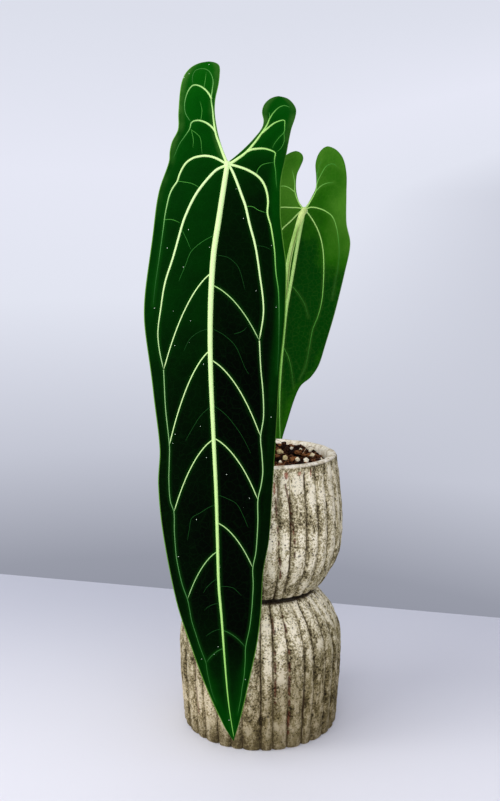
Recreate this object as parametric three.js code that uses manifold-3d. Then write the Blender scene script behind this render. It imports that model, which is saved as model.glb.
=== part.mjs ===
import * as THREE from "three";
import { mergeVertices } from "three/addons/utils/BufferGeometryUtils.js";
import Module from "manifold-3d";

// A potted queen anthurium in millimetres: two long heart-based leaves on one short stem,
// in bark mix, in an hourglass pot of ribbed cement. +Z is up, the large leaf hangs on the
// -Y side, and the origin is the centre of the pot's foot.

const wasm = await Module();
wasm.setup();

// Clearance kept between pieces that touch
const gap = 0.3;

// Pot
const potHeight = 228;
const waistHeight = 114.4;
const ribCount = 34;
const ribDepth = 1.8;
const ribUnevenness = 0.13;
const lowerRibTurn = -1.7;
const upperRibTurn = -0.1;
const waistRadius = 48.5;
const lowerBulb = [[0, 64.2], [25, 66], [55, 67.8], [80, 66.8], [97, 59.6], [107, 50.1]];
const upperBulb = [[122, 52.8], [132, 59], [141, 63.6], [152, 66.8], [175, 67.9], [205, 65.3], [225, 62.6]];
const lipRadius = 61;
const ribFace = [0.3, 0.7];
const cavityProfile = [
  [12, 50], [20, 56.5], [50, 59], [80, 57.8], [97, 49], [114.4, 39.4], [132, 49.5], [150, 58],
  [175, 59.2], [205, 57], [224, 54.8],
];
const cavityMouth = [231, 56.4];
const cavitySides = 32;

// Bark mix
const mixEdgeHeight = 211;
const mixMound = 9;
const mixLumps = 1.6;
const mixTopRadii = [49, 38, 25];
const chipCount = 21;
const chipSize = { length: 15, width: 9, thickness: 6 };
const chipRadii = { first: 14, spread: 36 };
const goldenTurn = Math.PI * (3 - Math.sqrt(5));

// Stem and roots
const stemFoot = [-3, 0, 188];
const stemHeight = 42;
const stemRadius = 10;
const stemSides = 12;
const rootRadius = 1.9;

// Leaves
const bladeThickness = 0.8;
const petioleRadius = 2.7;
const swellingRadius = 3.7;
const swellingStart = 0.8;
const swellingFull = 0.92;
const petioleSides = 8;
const petioleSteps = 18;
const veinFoot = bladeThickness / 2 + gap + 0.2;
const midribSize = { narrow: 0.7, rise: 1.5 };
const veinSize = { wide: 1.1, narrow: 0.7, rise: 0.9 };
const lateralSize = { wide: 1, narrow: 0.6, rise: 0.9 };
const tipMargin = 2;

// Front leaf: [height, place] stations, heights from the tip up
const frontTip = 24.2;
const frontJunction = 453.2;
const frontMidrib = [
  [frontTip, -21], [57, -24], [87, -27], [124, -30], [149, -31], [210, -33], [257, -35],
  [326, -37], [385, -35], [413, -31], [440, -27], [frontJunction, -25],
];
const frontDepth = [
  [0, -92], [frontTip, -93], [100, -96], [180, -95], [260, -91], [330, -84], [380, -75],
  [420, -64], [frontJunction, -54], [500, -42], [530, -36],
];
const frontLeftEdge = [
  [frontTip, -21], [36, -28], [69, -42], [104, -54], [134, -63], [174, -71], [220, -75.7],
  [248, -74.4], [289, -79], [336, -85], [361, -84.7], [401, -79.5], [433, -75.5], [455, -68.5],
  [462, -68], [469, -66.3], [478, -61.8], [490, -61.6], [509, -60.2], [518, -57.6], [523.5, -53],
  [526.6, -47], [527.6, -40.5],
];
const frontRightEdge = [
  [frontTip, -21], [46, -15], [69, -10], [101, -3.5], [126, -0.6], [156, 1.1], [179, 5.1],
  [216, 7.6], [254, 10], [301, 13], [336, 16.4], [357, 17.4], [381, 17.5], [397, 15.4],
  [413, 13.7], [426, 13.6], [441, 14.2], [459, 17.9], [479, 22], [488, 25], [494.5, 26.3],
  [499.4, 25], [504.7, 20.4], [506.5, 14],
];
const frontLeftSinus = [
  [frontJunction, -25], [464, -29], [474, -32], [483, -33.7], [492, -34.6], [501, -34], [510, -32],
  [518, -31], [524.4, -31.2], [527, -34.5], [527.6, -40.5],
];
const frontRightSinus = [
  [frontJunction, -25], [458, -19], [465, -11.6], [472.5, -5], [480, 0.2], [486, 1.4], [493, 0.3],
  [499, 2], [503.5, 5.8], [506, 10.4], [506.5, 14],
];
const frontCurl = 0.0035;
const frontWave = { height: 1.8, length: 72, reach: 45 };
const lobeLean = 18;
const lobeReach = 50;

// Front leaf's veins, as [x, z] places on the blade: raised on both faces
const frontVeins = {
  leftBasal: [[-26, 452], [-40, 441], [-57, 409], [-70, 366], [-75, 331], [-71, 304]],
  rightBasal: [[-24, 452], [-20, 440], [-12, 421], [-5, 393], [-2, 372], [1, 347], [-2, 325]],
  leftLobe: [[-25, 453], [-31, 467], [-35.5, 490], [-37, 506], [-40, 518], [-49, 520]],
  rightLobe: [[-25, 453], [-11, 462], [1, 477], [7, 490], [13, 497], [21, 498]],
};
// and on the -Y face alone
const frontFineVeins = {
  leftOuter: [[-26, 453], [-39, 458], [-54, 454], [-62, 440], [-71, 414], [-77, 382], [-79, 362]],
  rightOuter: [[-24, 453], [-11, 449], [1, 438], [4, 418], [9, 390], [12, 355], [12, 322], [11, 301]],
  leftLobeLower: [[-34, 476], [-46, 484], [-53, 478], [-62, 464]],
  leftLobeUpper: [[-37, 500], [-50, 510], [-57, 498], [-52, 483]],
  rightLobeUpper: [[1, 478], [12, 485], [16, 477], [7, 464]],
  rightLobeLower: [[-9, 463], [5, 463], [9, 453], [11, 437]],
};
const frontLeftStarts = [374, 319, 255, 173, 99];
const frontLeftJoins = [[-71, 304], [-67, 250], [-64, 201], [-54, 136], [-41, 87], [-34, 60]];
const frontRightStarts = [365, 312, 256, 194, 113];
const frontRightJoins = [[-2, 325], [-1, 256], [-3, 210], [-7, 160], [-12, 100], [-17, 62]];
const lateralBow = 2.2;

// Back leaf: its underside faces -Y, and its petiole stands in front of the blade
const backTip = 208;
const backJunction = 424;
const backMidrib = [[backTip, 19], [256, 18], [300, 20], [340, 23], [392, 31], [backJunction, 36]];
const backDepth = [
  [backTip, 73.5], [222, 74], [250, 73], [300, 68], [350, 58], [400, 42], [backJunction, 30],
  [450, 24], [480, 20],
];
const backRightEdge = [
  [backTip, 19], [222, 19.8], [241, 25], [264, 32], [274, 37], [281, 45], [292, 52], [309, 57],
  [345, 66], [374, 72], [397, 75], [414, 71], [437, 70], [452, 69.5], [464, 66.5], [471, 61], [474, 54],
];
const backLeftEdge = [
  [backTip, 19], [222, 13.5], [240, 9.5], [265, 6], [280, 2], [300, -4], [330, -12], [365, -16],
  [400, -14], [430, -5], [448, 4], [459, 12], [467, 20], [470.5, 28],
];
const backRightSinus = [
  [backJunction, 36], [435, 42], [442, 45], [451, 45], [460, 44.3], [467, 46], [472, 49.5], [474, 54],
];
const backLeftSinus = [
  [backJunction, 36], [431, 31.5], [441, 29], [452, 29.5], [459, 32.5], [464.5, 34.5], [468.5, 33],
  [470.5, 28],
];
const backCurl = -0.003;
const backWave = { height: 1.4, length: 70, reach: 42 };
const backVeins = {
  outer: [[37, 424], [49, 426], [61, 417], [66, 402], [67, 374], [64, 350]],
  basal: [[37, 423], [47, 412], [55, 384], [54, 353], [46, 323], [37, 284]],
  lobe: [[37, 425], [42, 431], [47.5, 444], [49, 457], [53, 466]],
  upperLateral: [[28, 374], [36, 352], [42, 334], [44, 316]],
  lowerLateral: [[20, 310], [25, 300], [28, 286], [29, 270]],
};
const backFineVeins = {
  lobeLower: [[46, 439], [52, 444], [61, 446]],
  lobeUpper: [[48, 450], [54, 457], [60, 459]],
};

// Petioles, from the stem up to the blade's notch
const frontPetiole = [
  [-7, -4, 206], [-9, -5, 240], [-15, -8, 300], [-22, -13, 370], [-27, -22, 420], [-28, -34, 444],
  [-26.5, -45, 453], [-25, -53.5, 454],
];
const backPetiole = [
  [2, 3, 206], [6, 4, 260], [14, 6, 320], [19.5, 8, 354], [23, 10, 384], [28, 12.5, 404],
  [33, 19, 420], [36, 29.5, 425],
];
const roots = [
  [[-3, 0, 224], [-14, 5, 224], [-22, 11, 220], [-28, 15, 211]],
  [[-3, 0, 222], [6, -8, 223], [10, -17, 219], [12, -24, 210]],
  [[-3, 0, 225], [-2, 12, 226], [2, 20, 221], [6, 27, 211]],
];

// Same draw each time, from 0 to 1
function makeDraw(seed) {
  let state = seed;
  return () => {
    state = (state * 1664525 + 1013904223) % 4294967296;
    return state / 4294967296;
  };
}

// Value at a place on the smooth line through [place, value] stations
function along(stations, place) {
  const last = stations.length - 1;
  const at = THREE.MathUtils.clamp(place, stations[0][0], stations[last][0]);
  let i = 0;
  while (i < last - 1 && at > stations[i + 1][0]) i += 1;
  const slope = (k) => {
    const low = stations[Math.max(k - 1, 0)];
    const high = stations[Math.min(k + 1, last)];
    return (high[1] - low[1]) / (high[0] - low[0]);
  };
  const step = stations[i + 1][0] - stations[i][0];
  const u = (at - stations[i][0]) / step;
  const start = stations[i][1] * (2 * u ** 3 - 3 * u ** 2 + 1);
  const end = stations[i + 1][1] * (3 * u ** 2 - 2 * u ** 3);
  return start + end + step * (slope(i) * (u ** 3 - 2 * u ** 2 + u) + slope(i + 1) * (u ** 3 - u ** 2));
}

// Solid from a closed three.js geometry
function solidOf(geometry) {
  const bare = geometry.clone();
  bare.deleteAttribute("normal");
  bare.deleteAttribute("uv");
  const merged = mergeVertices(bare, 1e-4);
  return new wasm.Manifold(new wasm.Mesh({
    numProp: 3,
    vertProperties: new Float32Array(merged.attributes.position.array),
    triVerts: new Uint32Array(merged.index.array),
  }));
}

// three.js geometry from points and triangles
function geometryFrom(points, faces) {
  const geometry = new THREE.BufferGeometry();
  const places = points.flatMap((point) => [point.x, point.y, point.z]);
  geometry.setAttribute("position", new THREE.Float32BufferAttribute(places, 3));
  geometry.setIndex(faces.flat());
  return geometry;
}

// three.js geometry from the largest body of a solid
function geometryOf(solid) {
  const bodies = solid.decompose().sort((a, b) => b.volume() - a.volume());
  const mesh = bodies[0].getMesh();
  const geometry = new THREE.BufferGeometry();
  geometry.setAttribute("position", new THREE.BufferAttribute(new Float32Array(mesh.vertProperties), 3));
  geometry.setIndex(new THREE.BufferAttribute(new Uint32Array(mesh.triVerts), 1));
  geometry.computeVertexNormals();
  return geometry;
}

// Closed body through rings of points, each ring turning left as seen from the end it starts at
function ringBody(rings) {
  const count = rings[0].length;
  const points = rings.flat();
  const faces = [];
  for (let r = 0; r + 1 < rings.length; r += 1) {
    for (let c = 0; c < count; c += 1) {
      const a = r * count + c;
      const b = r * count + ((c + 1) % count);
      faces.push([a, b, b + count], [a, b + count, a + count]);
    }
  }
  const middle = (ring) => ring.reduce((sum, p) => sum.add(p), new THREE.Vector3()).divideScalar(count);
  const foot = points.push(middle(rings[0])) - 1;
  const head = points.push(middle(rings.at(-1))) - 1;
  const top = (rings.length - 1) * count;
  for (let c = 0; c < count; c += 1) {
    const next = (c + 1) % count;
    faces.push([foot, next, c], [head, top + c, top + next]);
  }
  return solidOf(geometryFrom(points, faces));
}

// Round tube along points, its radius given along its length
function tube(path, radiusAt, sides, steps) {
  const curve = new THREE.CatmullRomCurve3(path.map((point) => new THREE.Vector3(...point)));
  const frames = curve.computeFrenetFrames(steps, false);
  const rings = Array.from({ length: steps + 1 }, (_, s) => {
    const centre = curve.getPointAt(s / steps);
    return Array.from({ length: sides }, (__, c) => {
      const turn = (2 * Math.PI * c) / sides;
      const out = frames.normals[s].clone().multiplyScalar(Math.cos(turn));
      out.addScaledVector(frames.binormals[s], Math.sin(turn));
      return centre.clone().addScaledVector(out, radiusAt(s / steps));
    });
  });
  return ringBody(rings);
}

// Pot: grooves at uneven turns, each rib a broad face between two grooves
function grooveTurn(k, phase) {
  const uneven = ribUnevenness * Math.sin(2.4 * k + 3 * phase);
  return THREE.MathUtils.degToRad(phase - 90 + ((k + uneven) * 360) / ribCount);
}

function potRing(height, radius, phase, depth) {
  const ring = [];
  for (let k = 0; k < ribCount; k += 1) {
    const turn = grooveTurn(k, phase);
    const width = (grooveTurn(k + 1, phase) - turn + 2 * Math.PI) % (2 * Math.PI);
    [0, ...ribFace].forEach((share) => {
      const reach = share === 0 ? radius - depth : radius;
      const place = turn + width * share;
      ring.push(new THREE.Vector3(reach * Math.cos(place), reach * Math.sin(place), height));
    });
  }
  return ring;
}

function potSolid() {
  const rings = [
    ...lowerBulb.map(([height, radius]) => potRing(height, radius, lowerRibTurn, ribDepth)),
    potRing(waistHeight, waistRadius, (lowerRibTurn + upperRibTurn) / 2, ribDepth / 2),
    ...upperBulb.map(([height, radius]) => potRing(height, radius, upperRibTurn, ribDepth)),
    potRing(potHeight, lipRadius, upperRibTurn, 0),
  ];
  return ringBody(rings).subtract(cavitySolid(0));
}

// The pot's cavity as a solid of revolution about Z, drawn in by `inset`
function cavitySolid(inset) {
  const profile = [...cavityProfile, cavityMouth].map(([z, r]) => new THREE.Vector2(r - inset, z));
  profile.unshift(new THREE.Vector2(0, profile[0].y));
  profile.push(new THREE.Vector2(0, cavityMouth[0]));
  return solidOf(new THREE.LatheGeometry(profile, cavitySides).rotateX(Math.PI / 2));
}

// Mix: it fills the cavity, its top heaped towards the stem and strewn with bark chips
function mixTop(radius) {
  return mixEdgeHeight + mixMound * (1 - (radius / mixTopRadii[0]) ** 2);
}

function barkChip(draw, radius, turn) {
  const box = new THREE.BoxGeometry(chipSize.length, chipSize.width, chipSize.thickness);
  box.deleteAttribute("normal");
  box.deleteAttribute("uv");
  const chip = mergeVertices(box);
  const corners = chip.attributes.position;
  for (let i = 0; i < corners.count; i += 1) {
    const shrink = 0.65 + 0.35 * draw();
    corners.setXYZ(i, corners.getX(i) * shrink, corners.getY(i) * shrink, corners.getZ(i) * shrink);
  }
  chip.scale(0.7 + 0.5 * draw(), 0.7 + 0.5 * draw(), 0.8 + 0.4 * draw());
  chip.rotateX(0.7 * (draw() - 0.5)).rotateY(0.9 * (draw() - 0.5)).rotateZ(Math.PI * draw());
  const height = mixTop(radius) + 0.2 * chipSize.thickness;
  return solidOf(chip.translate(radius * Math.cos(turn), radius * Math.sin(turn), height));
}

function mixSolid(clear) {
  const draw = makeDraw(11);
  const ring = (radius, height, lumps) => Array.from({ length: cavitySides }, (_, c) => {
    const turn = (2 * Math.PI * c) / cavitySides;
    const lump = lumps * (2 * draw() - 1);
    return new THREE.Vector3(radius * Math.cos(turn), radius * Math.sin(turn), height + lump);
  });
  const sides = cavityProfile.filter(([z]) => z < mixEdgeHeight);
  sides.push([mixEdgeHeight, along(cavityProfile, mixEdgeHeight)]);
  const rings = sides.map(([z, r], i) => ring(r - gap, i === 0 ? z + gap : z, 0));
  mixTopRadii.forEach((radius) => rings.push(ring(radius, mixTop(radius), mixLumps)));
  let mix = ringBody(rings);
  for (let k = 0; k < chipCount; k += 1) {
    const radius = chipRadii.first + chipRadii.spread * Math.sqrt((k + 0.5) / chipCount);
    mix = mix.add(barkChip(draw, radius, k * goldenTurn + 0.4 * draw()));
  }
  return mix.intersect(cavitySolid(gap)).subtract(clear);
}

// Stem: a ringed stump with three roots that dip into the mix
function stemSolid(grow) {
  const rings = Array.from({ length: 7 }, (_, s) => {
    const swell = s === 6 ? 0.72 : 1 - 0.12 * (s % 2);
    return Array.from({ length: stemSides }, (__, c) => {
      const turn = (2 * Math.PI * c) / stemSides;
      const radius = stemRadius * swell + 0.6 * Math.sin(3 * turn + s) + grow;
      const height = (stemHeight * s) / 6 + (s === 6 ? grow : 0) - (s === 0 ? grow : 0);
      const place = new THREE.Vector3(radius * Math.cos(turn), radius * Math.sin(turn), height);
      return place.add(new THREE.Vector3(...stemFoot));
    });
  });
  const root = (path) => tube(path, (u) => rootRadius * (1 - 0.3 * u) + grow, 6, 6);
  return roots.reduce((sum, path) => sum.add(root(path)), ringBody(rings));
}

// Blade sheet: rows of points between a low-x and a high-x edge, shared points joined
function addRows(sheet, heights, lowEdge, highEdge, columns, depthAt) {
  const vertex = (x, z) => {
    const key = `${x.toFixed(3)},${z.toFixed(3)}`;
    if (!sheet.keys.has(key)) {
      sheet.keys.set(key, sheet.points.push(new THREE.Vector3(x, depthAt(x, z), z)) - 1);
    }
    return sheet.keys.get(key);
  };
  const rows = heights.map((z) => Array.from({ length: columns + 1 }, (_, c) => {
    const low = lowEdge(z);
    return vertex(low + ((highEdge(z) - low) * c) / columns, z);
  }));
  for (let r = 0; r + 1 < rows.length; r += 1) {
    for (let c = 0; c < columns; c += 1) {
      const [a, b, d, e] = [rows[r][c], rows[r][c + 1], rows[r + 1][c], rows[r + 1][c + 1]];
      if (d !== e) sheet.faces.push([a, d, e]);
      if (a !== b) sheet.faces.push([a, e, b]);
    }
  }
}

// Heights of a half blade's rows: close at the round top of the lobe, even down to the tip
function rowHeights(lobeTop, junction, tip, step) {
  const lobe = lobeTop - junction;
  const heights = [0, 0.025, 0.08, 0.17].map((share) => lobeTop - share * lobe);
  const lobeRows = Math.round((0.83 * lobe) / step) + 1;
  for (let k = 1; k <= lobeRows; k += 1) heights.push(lobeTop - lobe * (0.17 + (0.83 * k) / lobeRows));
  const rows = Math.round((junction - tip) / step);
  for (let k = 1; k <= rows; k += 1) heights.push(junction + ((tip - junction) * k) / rows);
  return heights;
}

function bladeSheet(leaf) {
  const sheet = { keys: new Map(), points: [], faces: [] };
  const inner = (sinus) => (z) => (z > leaf.junction ? along(sinus, z) : along(leaf.midrib, z));
  const edge = (stations) => (z) => along(stations, z);
  const leftRows = rowHeights(leaf.leftEdge.at(-1)[0], leaf.junction, leaf.tip, leaf.rowStep);
  const rightRows = rowHeights(leaf.rightEdge.at(-1)[0], leaf.junction, leaf.tip, leaf.rowStep);
  addRows(sheet, leftRows, edge(leaf.leftEdge), inner(leaf.leftSinus), leaf.columns, leaf.depthAt);
  addRows(sheet, rightRows, inner(leaf.rightSinus), edge(leaf.rightEdge), leaf.columns, leaf.depthAt);
  return sheet;
}

// Sheet made thick to both sides, and wider all round by `spread`
function thicken({ points, faces }, half, spread) {
  const normals = points.map(() => new THREE.Vector3());
  const edges = new Set();
  faces.forEach(([a, b, c]) => {
    const side = points[b].clone().sub(points[a]);
    const normal = side.cross(points[c].clone().sub(points[a]));
    [a, b, c].forEach((i) => normals[i].add(normal));
    [[a, b], [b, c], [c, a]].forEach(([from, to]) => edges.add(`${from},${to}`));
  });
  normals.forEach((normal) => normal.normalize());
  const ends = [...edges].map((edge) => edge.split(",").map(Number));
  const rim = ends.filter(([a, b]) => !edges.has(`${b},${a}`));
  const outward = points.map(() => new THREE.Vector3());
  rim.forEach(([a, b]) => {
    const out = points[b].clone().sub(points[a]).cross(normals[a]).normalize();
    outward[a].add(out);
    outward[b].add(out);
  });
  const side = (sign) => points.map((point, i) => {
    const place = point.clone().addScaledVector(normals[i], sign * half);
    return place.addScaledVector(outward[i].normalize(), spread);
  });
  const n = points.length;
  const back = faces.map(([a, b, c]) => [c + n, b + n, a + n]);
  const wall = rim.flatMap(([a, b]) => [[b, a, a + n], [b, a + n, b + n]]);
  return solidOf(geometryFrom([...side(1), ...side(-1)], [...faces, ...back, ...wall]));
}

// Vein: a ridge close over one face of the blade; side 1 is the -Y face
function ridge(leaf, vein, side) {
  const heightAt = (x, z) => new THREE.Vector3(x, leaf.depthAt(x, z), z);
  const curve = new THREE.CatmullRomCurve3(vein.path.map(([x, z]) => heightAt(x, z)));
  const steps = Math.max(3, Math.round(curve.getLength() / leaf.ridgeStep));
  const rings = Array.from({ length: steps + 1 }, (_, s) => {
    const u = s / steps;
    const line = curve.getPointAt(u);
    const point = heightAt(line.x, line.z);
    const across = heightAt(line.x + 1, line.z).sub(point);
    const normal = across.cross(heightAt(line.x, line.z + 1).sub(point)).normalize().multiplyScalar(side);
    const forward = curve.getTangentAt(u);
    const lateral = forward.clone().cross(normal).normalize();
    const width = THREE.MathUtils.lerp(vein.wide, vein.narrow, u);
    const rise = veinFoot + vein.rise * (0.5 + (0.5 * width) / vein.wide);
    return [
      point.clone().addScaledVector(normal, veinFoot).addScaledVector(lateral, -width),
      point.clone().addScaledVector(normal, rise),
      point.clone().addScaledVector(normal, veinFoot).addScaledVector(lateral, width),
    ];
  });
  return ringBody(rings);
}

// Lateral vein: leaves the midrib, bends down to its join, and runs on to the next join
function lateral(leaf, startHeight, join, next, bow) {
  const start = new THREE.Vector2(along(leaf.midrib, startHeight), startHeight);
  const end = new THREE.Vector2(...join);
  const bend = new THREE.Vector2(start.x + 0.55 * (end.x - start.x), start.y + 0.2 * (end.y - start.y));
  const arch = new THREE.QuadraticBezierCurve(start, bend, end).getPoints(4).map(({ x, y }) => [x, y]);
  return [...arch, [(join[0] + next[0]) / 2 + bow, (join[1] + next[1]) / 2], next];
}

// Net of veins on both faces, held together round the notch, and the leaf's own petiole
function veinSolid(leaf, sheet) {
  const midrib = leaf.midrib.map(([z, x]) => [x, z]).reverse();
  midrib[midrib.length - 1][1] += tipMargin;
  const net = [
    { path: midrib, wide: leaf.midribWidth, ...midribSize },
    ...leaf.veins.map((path) => ({ path, ...veinSize })),
    ...leaf.laterals.map((path) => ({ path, ...lateralSize })),
  ];
  const fineNet = leaf.fineVeins.map((path) => ({ path, ...veinSize }));
  const swell = (u) => {
    const share = THREE.MathUtils.smoothstep(u, swellingStart, swellingFull);
    return THREE.MathUtils.lerp(petioleRadius, swellingRadius, share);
  };
  const notch = new THREE.IcosahedronGeometry(leaf.notchRadius, 1).translate(...leaf.notch);
  const keepOut = thicken(sheet, bladeThickness / 2 + gap, gap);
  const ridges = net.flatMap((vein) => [ridge(leaf, vein, 1), ridge(leaf, vein, -1)]);
  ridges.push(...fineNet.map((vein) => ridge(leaf, vein, 1)));
  const grown = ridges.reduce((sum, part) => sum.add(part), solidOf(notch));
  return grown.add(tube(leaf.petiole, swell, petioleSides, petioleSteps)).subtract(keepOut);
}

function wave({ height, length, reach }, fromMidrib, z) {
  return height * Math.min(Math.abs(fromMidrib) / reach, 1.2) ** 2 * Math.sin((2 * Math.PI * z) / length);
}

const frontLeaf = {
  tip: frontTip,
  junction: frontJunction,
  midrib: frontMidrib,
  leftEdge: frontLeftEdge,
  rightEdge: frontRightEdge,
  leftSinus: frontLeftSinus,
  rightSinus: frontRightSinus,
  rowStep: 14,
  columns: 5,
  ridgeStep: 14,
  midribWidth: 2.2,
  notch: [-25, -54, 455],
  notchRadius: 4.6,
  petiole: frontPetiole,
  veins: Object.values(frontVeins),
  fineVeins: Object.values(frontFineVeins),
  depthAt: (x, z) => {
    const fromMidrib = x - along(frontMidrib, z);
    const rise = THREE.MathUtils.clamp((z - frontJunction) / lobeReach, 0, 1.2);
    const lean = fromMidrib > 0 ? lobeLean * rise ** 1.5 : 0;
    return along(frontDepth, z) + frontCurl * fromMidrib ** 2 + lean + wave(frontWave, fromMidrib, z);
  },
};
const frontLaterals = (starts, joins, bow) =>
  starts.map((height, i) => lateral(frontLeaf, height, joins[i], joins[i + 1], bow));
frontLeaf.laterals = [
  ...frontLaterals(frontLeftStarts, frontLeftJoins, -lateralBow),
  ...frontLaterals(frontRightStarts, frontRightJoins, lateralBow),
];

const backLeaf = {
  tip: backTip,
  junction: backJunction,
  midrib: backMidrib,
  leftEdge: backLeftEdge,
  rightEdge: backRightEdge,
  leftSinus: backLeftSinus,
  rightSinus: backRightSinus,
  rowStep: 14,
  columns: 5,
  ridgeStep: 13,
  midribWidth: 1.9,
  notch: [36, 30, 425.5],
  notchRadius: 4.2,
  petiole: backPetiole,
  laterals: [],
  depthAt: (x, z) => {
    const fromMidrib = x - along(backMidrib, z);
    return along(backDepth, z) + backCurl * fromMidrib ** 2 + wave(backWave, fromMidrib, z);
  },
};
const mirrored = (path) => path.map(([x, z]) => [2 * along(backMidrib, z) - x, z]);
const bothHalves = (veins) => Object.values(veins).flatMap((path) => [path, mirrored(path)]);
backLeaf.veins = bothHalves(backVeins);
backLeaf.fineVeins = bothHalves(backFineVeins);

// The pieces
const petioleSleeve = (path) => tube(path, () => petioleRadius + gap, petioleSides, petioleSteps);
const sleeves = petioleSleeve(frontPetiole).add(petioleSleeve(backPetiole));
const frontSheet = bladeSheet(frontLeaf);
const backSheet = bladeSheet(backLeaf);

const blade = (sheet) => thicken(sheet, bladeThickness / 2, 0);
const looks = {
  pot: { color: 0xb0a68e, roughness: 0.92, metalness: 0 },
  potting_mix: { color: 0x4a2c1c, roughness: 0.95, metalness: 0 },
  stem_base: { color: 0x8a6a42, roughness: 0.85, metalness: 0 },
  front_blade: { color: 0x0d3f0c, roughness: 0.6, metalness: 0 },
  front_petiole_veins: { color: 0xbfdc8c, roughness: 0.55, metalness: 0 },
  back_blade: { color: 0x2f6116, roughness: 0.5, metalness: 0 },
  back_petiole_veins: { color: 0x94ba63, roughness: 0.55, metalness: 0 },
};
const solids = {
  pot: potSolid(),
  potting_mix: mixSolid(stemSolid(gap).add(sleeves)),
  stem_base: stemSolid(0).subtract(sleeves),
  front_blade: blade(frontSheet),
  front_petiole_veins: veinSolid(frontLeaf, frontSheet),
  back_blade: blade(backSheet),
  back_petiole_veins: veinSolid(backLeaf, backSheet),
};

const pottedAnthurium = new THREE.Group();
Object.entries(solids).forEach(([name, solid]) => {
  const mesh = new THREE.Mesh(geometryOf(solid), new THREE.MeshStandardMaterial(looks[name]));
  mesh.name = name;
  pottedAnthurium.add(mesh);
});

export default pottedAnthurium;
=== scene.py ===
import math
import random
from functools import partial

import bmesh
import bpy
import numpy as np
from mathutils import Euler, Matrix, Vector, noise


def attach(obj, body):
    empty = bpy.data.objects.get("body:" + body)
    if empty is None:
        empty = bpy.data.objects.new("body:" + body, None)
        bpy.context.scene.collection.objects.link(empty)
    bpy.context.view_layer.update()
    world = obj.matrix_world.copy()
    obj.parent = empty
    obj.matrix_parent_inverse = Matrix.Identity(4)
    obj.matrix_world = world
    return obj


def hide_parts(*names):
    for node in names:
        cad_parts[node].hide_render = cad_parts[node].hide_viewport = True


# A potted queen anthurium: two long heart-based leaves on one short stem, in bark mix,
# in an hourglass pot of cast cement with hand-cut ribs.
# Places and sizes are in millimetres, +Z up, and turn to metres where a mesh is made.
# The large leaf hangs on the -Y side, towards the camera.

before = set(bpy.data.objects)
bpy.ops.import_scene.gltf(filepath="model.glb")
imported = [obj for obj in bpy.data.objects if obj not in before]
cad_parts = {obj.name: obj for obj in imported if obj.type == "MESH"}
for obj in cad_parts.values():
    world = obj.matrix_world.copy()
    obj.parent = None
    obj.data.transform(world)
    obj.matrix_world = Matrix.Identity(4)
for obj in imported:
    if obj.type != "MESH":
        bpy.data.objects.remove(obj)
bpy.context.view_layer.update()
mm = 0.001
soft = {"interpolation_type": "SMOOTHSTEP"}  # for a range with eased ends


def linear(hexColour):  # sRGB hex to linear RGBA
    channels = [int(hexColour[i:i + 2], 16) / 255 for i in (1, 3, 5)]
    return [c / 12.92 if c <= 0.04045 else ((c + 0.055) / 1.055) ** 2.4 for c in channels] + [1]


def perMetre(size):  # scale of a pattern whose marks are `size` mm across
    return 1000 / size


def addNode(tree, kind, inputs=(), **settings):
    # A node with its settings and its links. Inputs go by name or in the node's own order; a node
    # stands for its first output, and a hex for its colour
    node = tree.nodes.new("ShaderNode" + kind)
    for name, value in settings.items():
        if name == "stops":  # a ramp's (place, colour) stops
            elements = node.color_ramp.elements
            elements[0].position, elements[1].position = value[0][0], value[-1][0]
            for place, _ in value[1:-1]:
                elements.new(place)
            for element, (_, colour) in zip(elements, value):
                element.color = linear(colour)
        else:
            setattr(node, name, value)
    for name, value in inputs.items() if isinstance(inputs, dict) else enumerate(inputs):
        value = value.outputs[0] if isinstance(value, bpy.types.Node) else value
        if isinstance(value, bpy.types.NodeSocket):
            tree.links.new(value, node.inputs[name])
        else:
            node.inputs[name].default_value = linear(value) if isinstance(value, str) else value
    return node


# A material, what adds its nodes, the object's own space, and the marks it reads
def startMaterial(name, *marks):
    material = bpy.data.materials.new(name)
    material.use_nodes = True
    material.node_tree.nodes.clear()
    add = partial(addNode, material.node_tree)
    reads = [add("Attribute", attribute_name=mark).outputs["Fac"] for mark in marks]
    return material, add, add("TexCoord").outputs["Object"], *reads


def endMaterial(material, colour, bump, specular, roughness, **more):  # its shader; `more` by socket
    sockets = {"Base Color": colour, "Specular IOR Level": specular, "Roughness": roughness}
    if bump:
        sockets["Normal"] = bump
    shader = addNode(material.node_tree, "BsdfPrincipled", sockets | more)
    addNode(material.node_tree, "OutputMaterial", [shader])
    return material


def along(stations, place):  # value at a place on the smooth line through (place, value) stations
    spots, values = np.array(stations, float).T
    low = np.maximum(np.arange(len(spots)) - 1, 0)
    high = np.minimum(np.arange(len(spots)) + 1, len(spots) - 1)
    slopes = (values[high] - values[low]) / (spots[high] - spots[low])
    at = np.clip(place, spots[0], spots[-1])
    i = np.clip(np.searchsorted(spots, at, side="right") - 1, 0, len(spots) - 2)
    step = spots[i + 1] - spots[i]
    u = (at - spots[i]) / step
    ends = values[i] * (2 * u**3 - 3 * u**2 + 1) + values[i + 1] * (3 * u**2 - 2 * u**3)
    return ends + step * (slopes[i] * (u**3 - 2 * u**2 + u) + slopes[i + 1] * (u**3 - u**2))


def smoothLine(points, step):  # points `step` apart on a smooth line through the given points
    points = np.array(points, float)
    places = np.append(0, np.cumsum(np.linalg.norm(np.diff(points, axis=0), axis=1)))
    fine = np.linspace(0, places[-1], 16 * len(points))
    line = np.stack([along(np.stack([places, column], 1), fine) for column in points.T], 1)
    gone = np.append(0, np.cumsum(np.linalg.norm(np.diff(line, axis=0), axis=1)))
    even = np.linspace(0, gone[-1], max(3, round(gone[-1] / step)) + 1)
    return np.stack([np.interp(even, gone, column) for column in line.T], 1)


def spread(values, count):  # a few values, evenly placed, drawn out to `count` of them
    return np.interp(np.linspace(0, 1, count), np.linspace(0, 1, len(values)), values)


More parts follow.
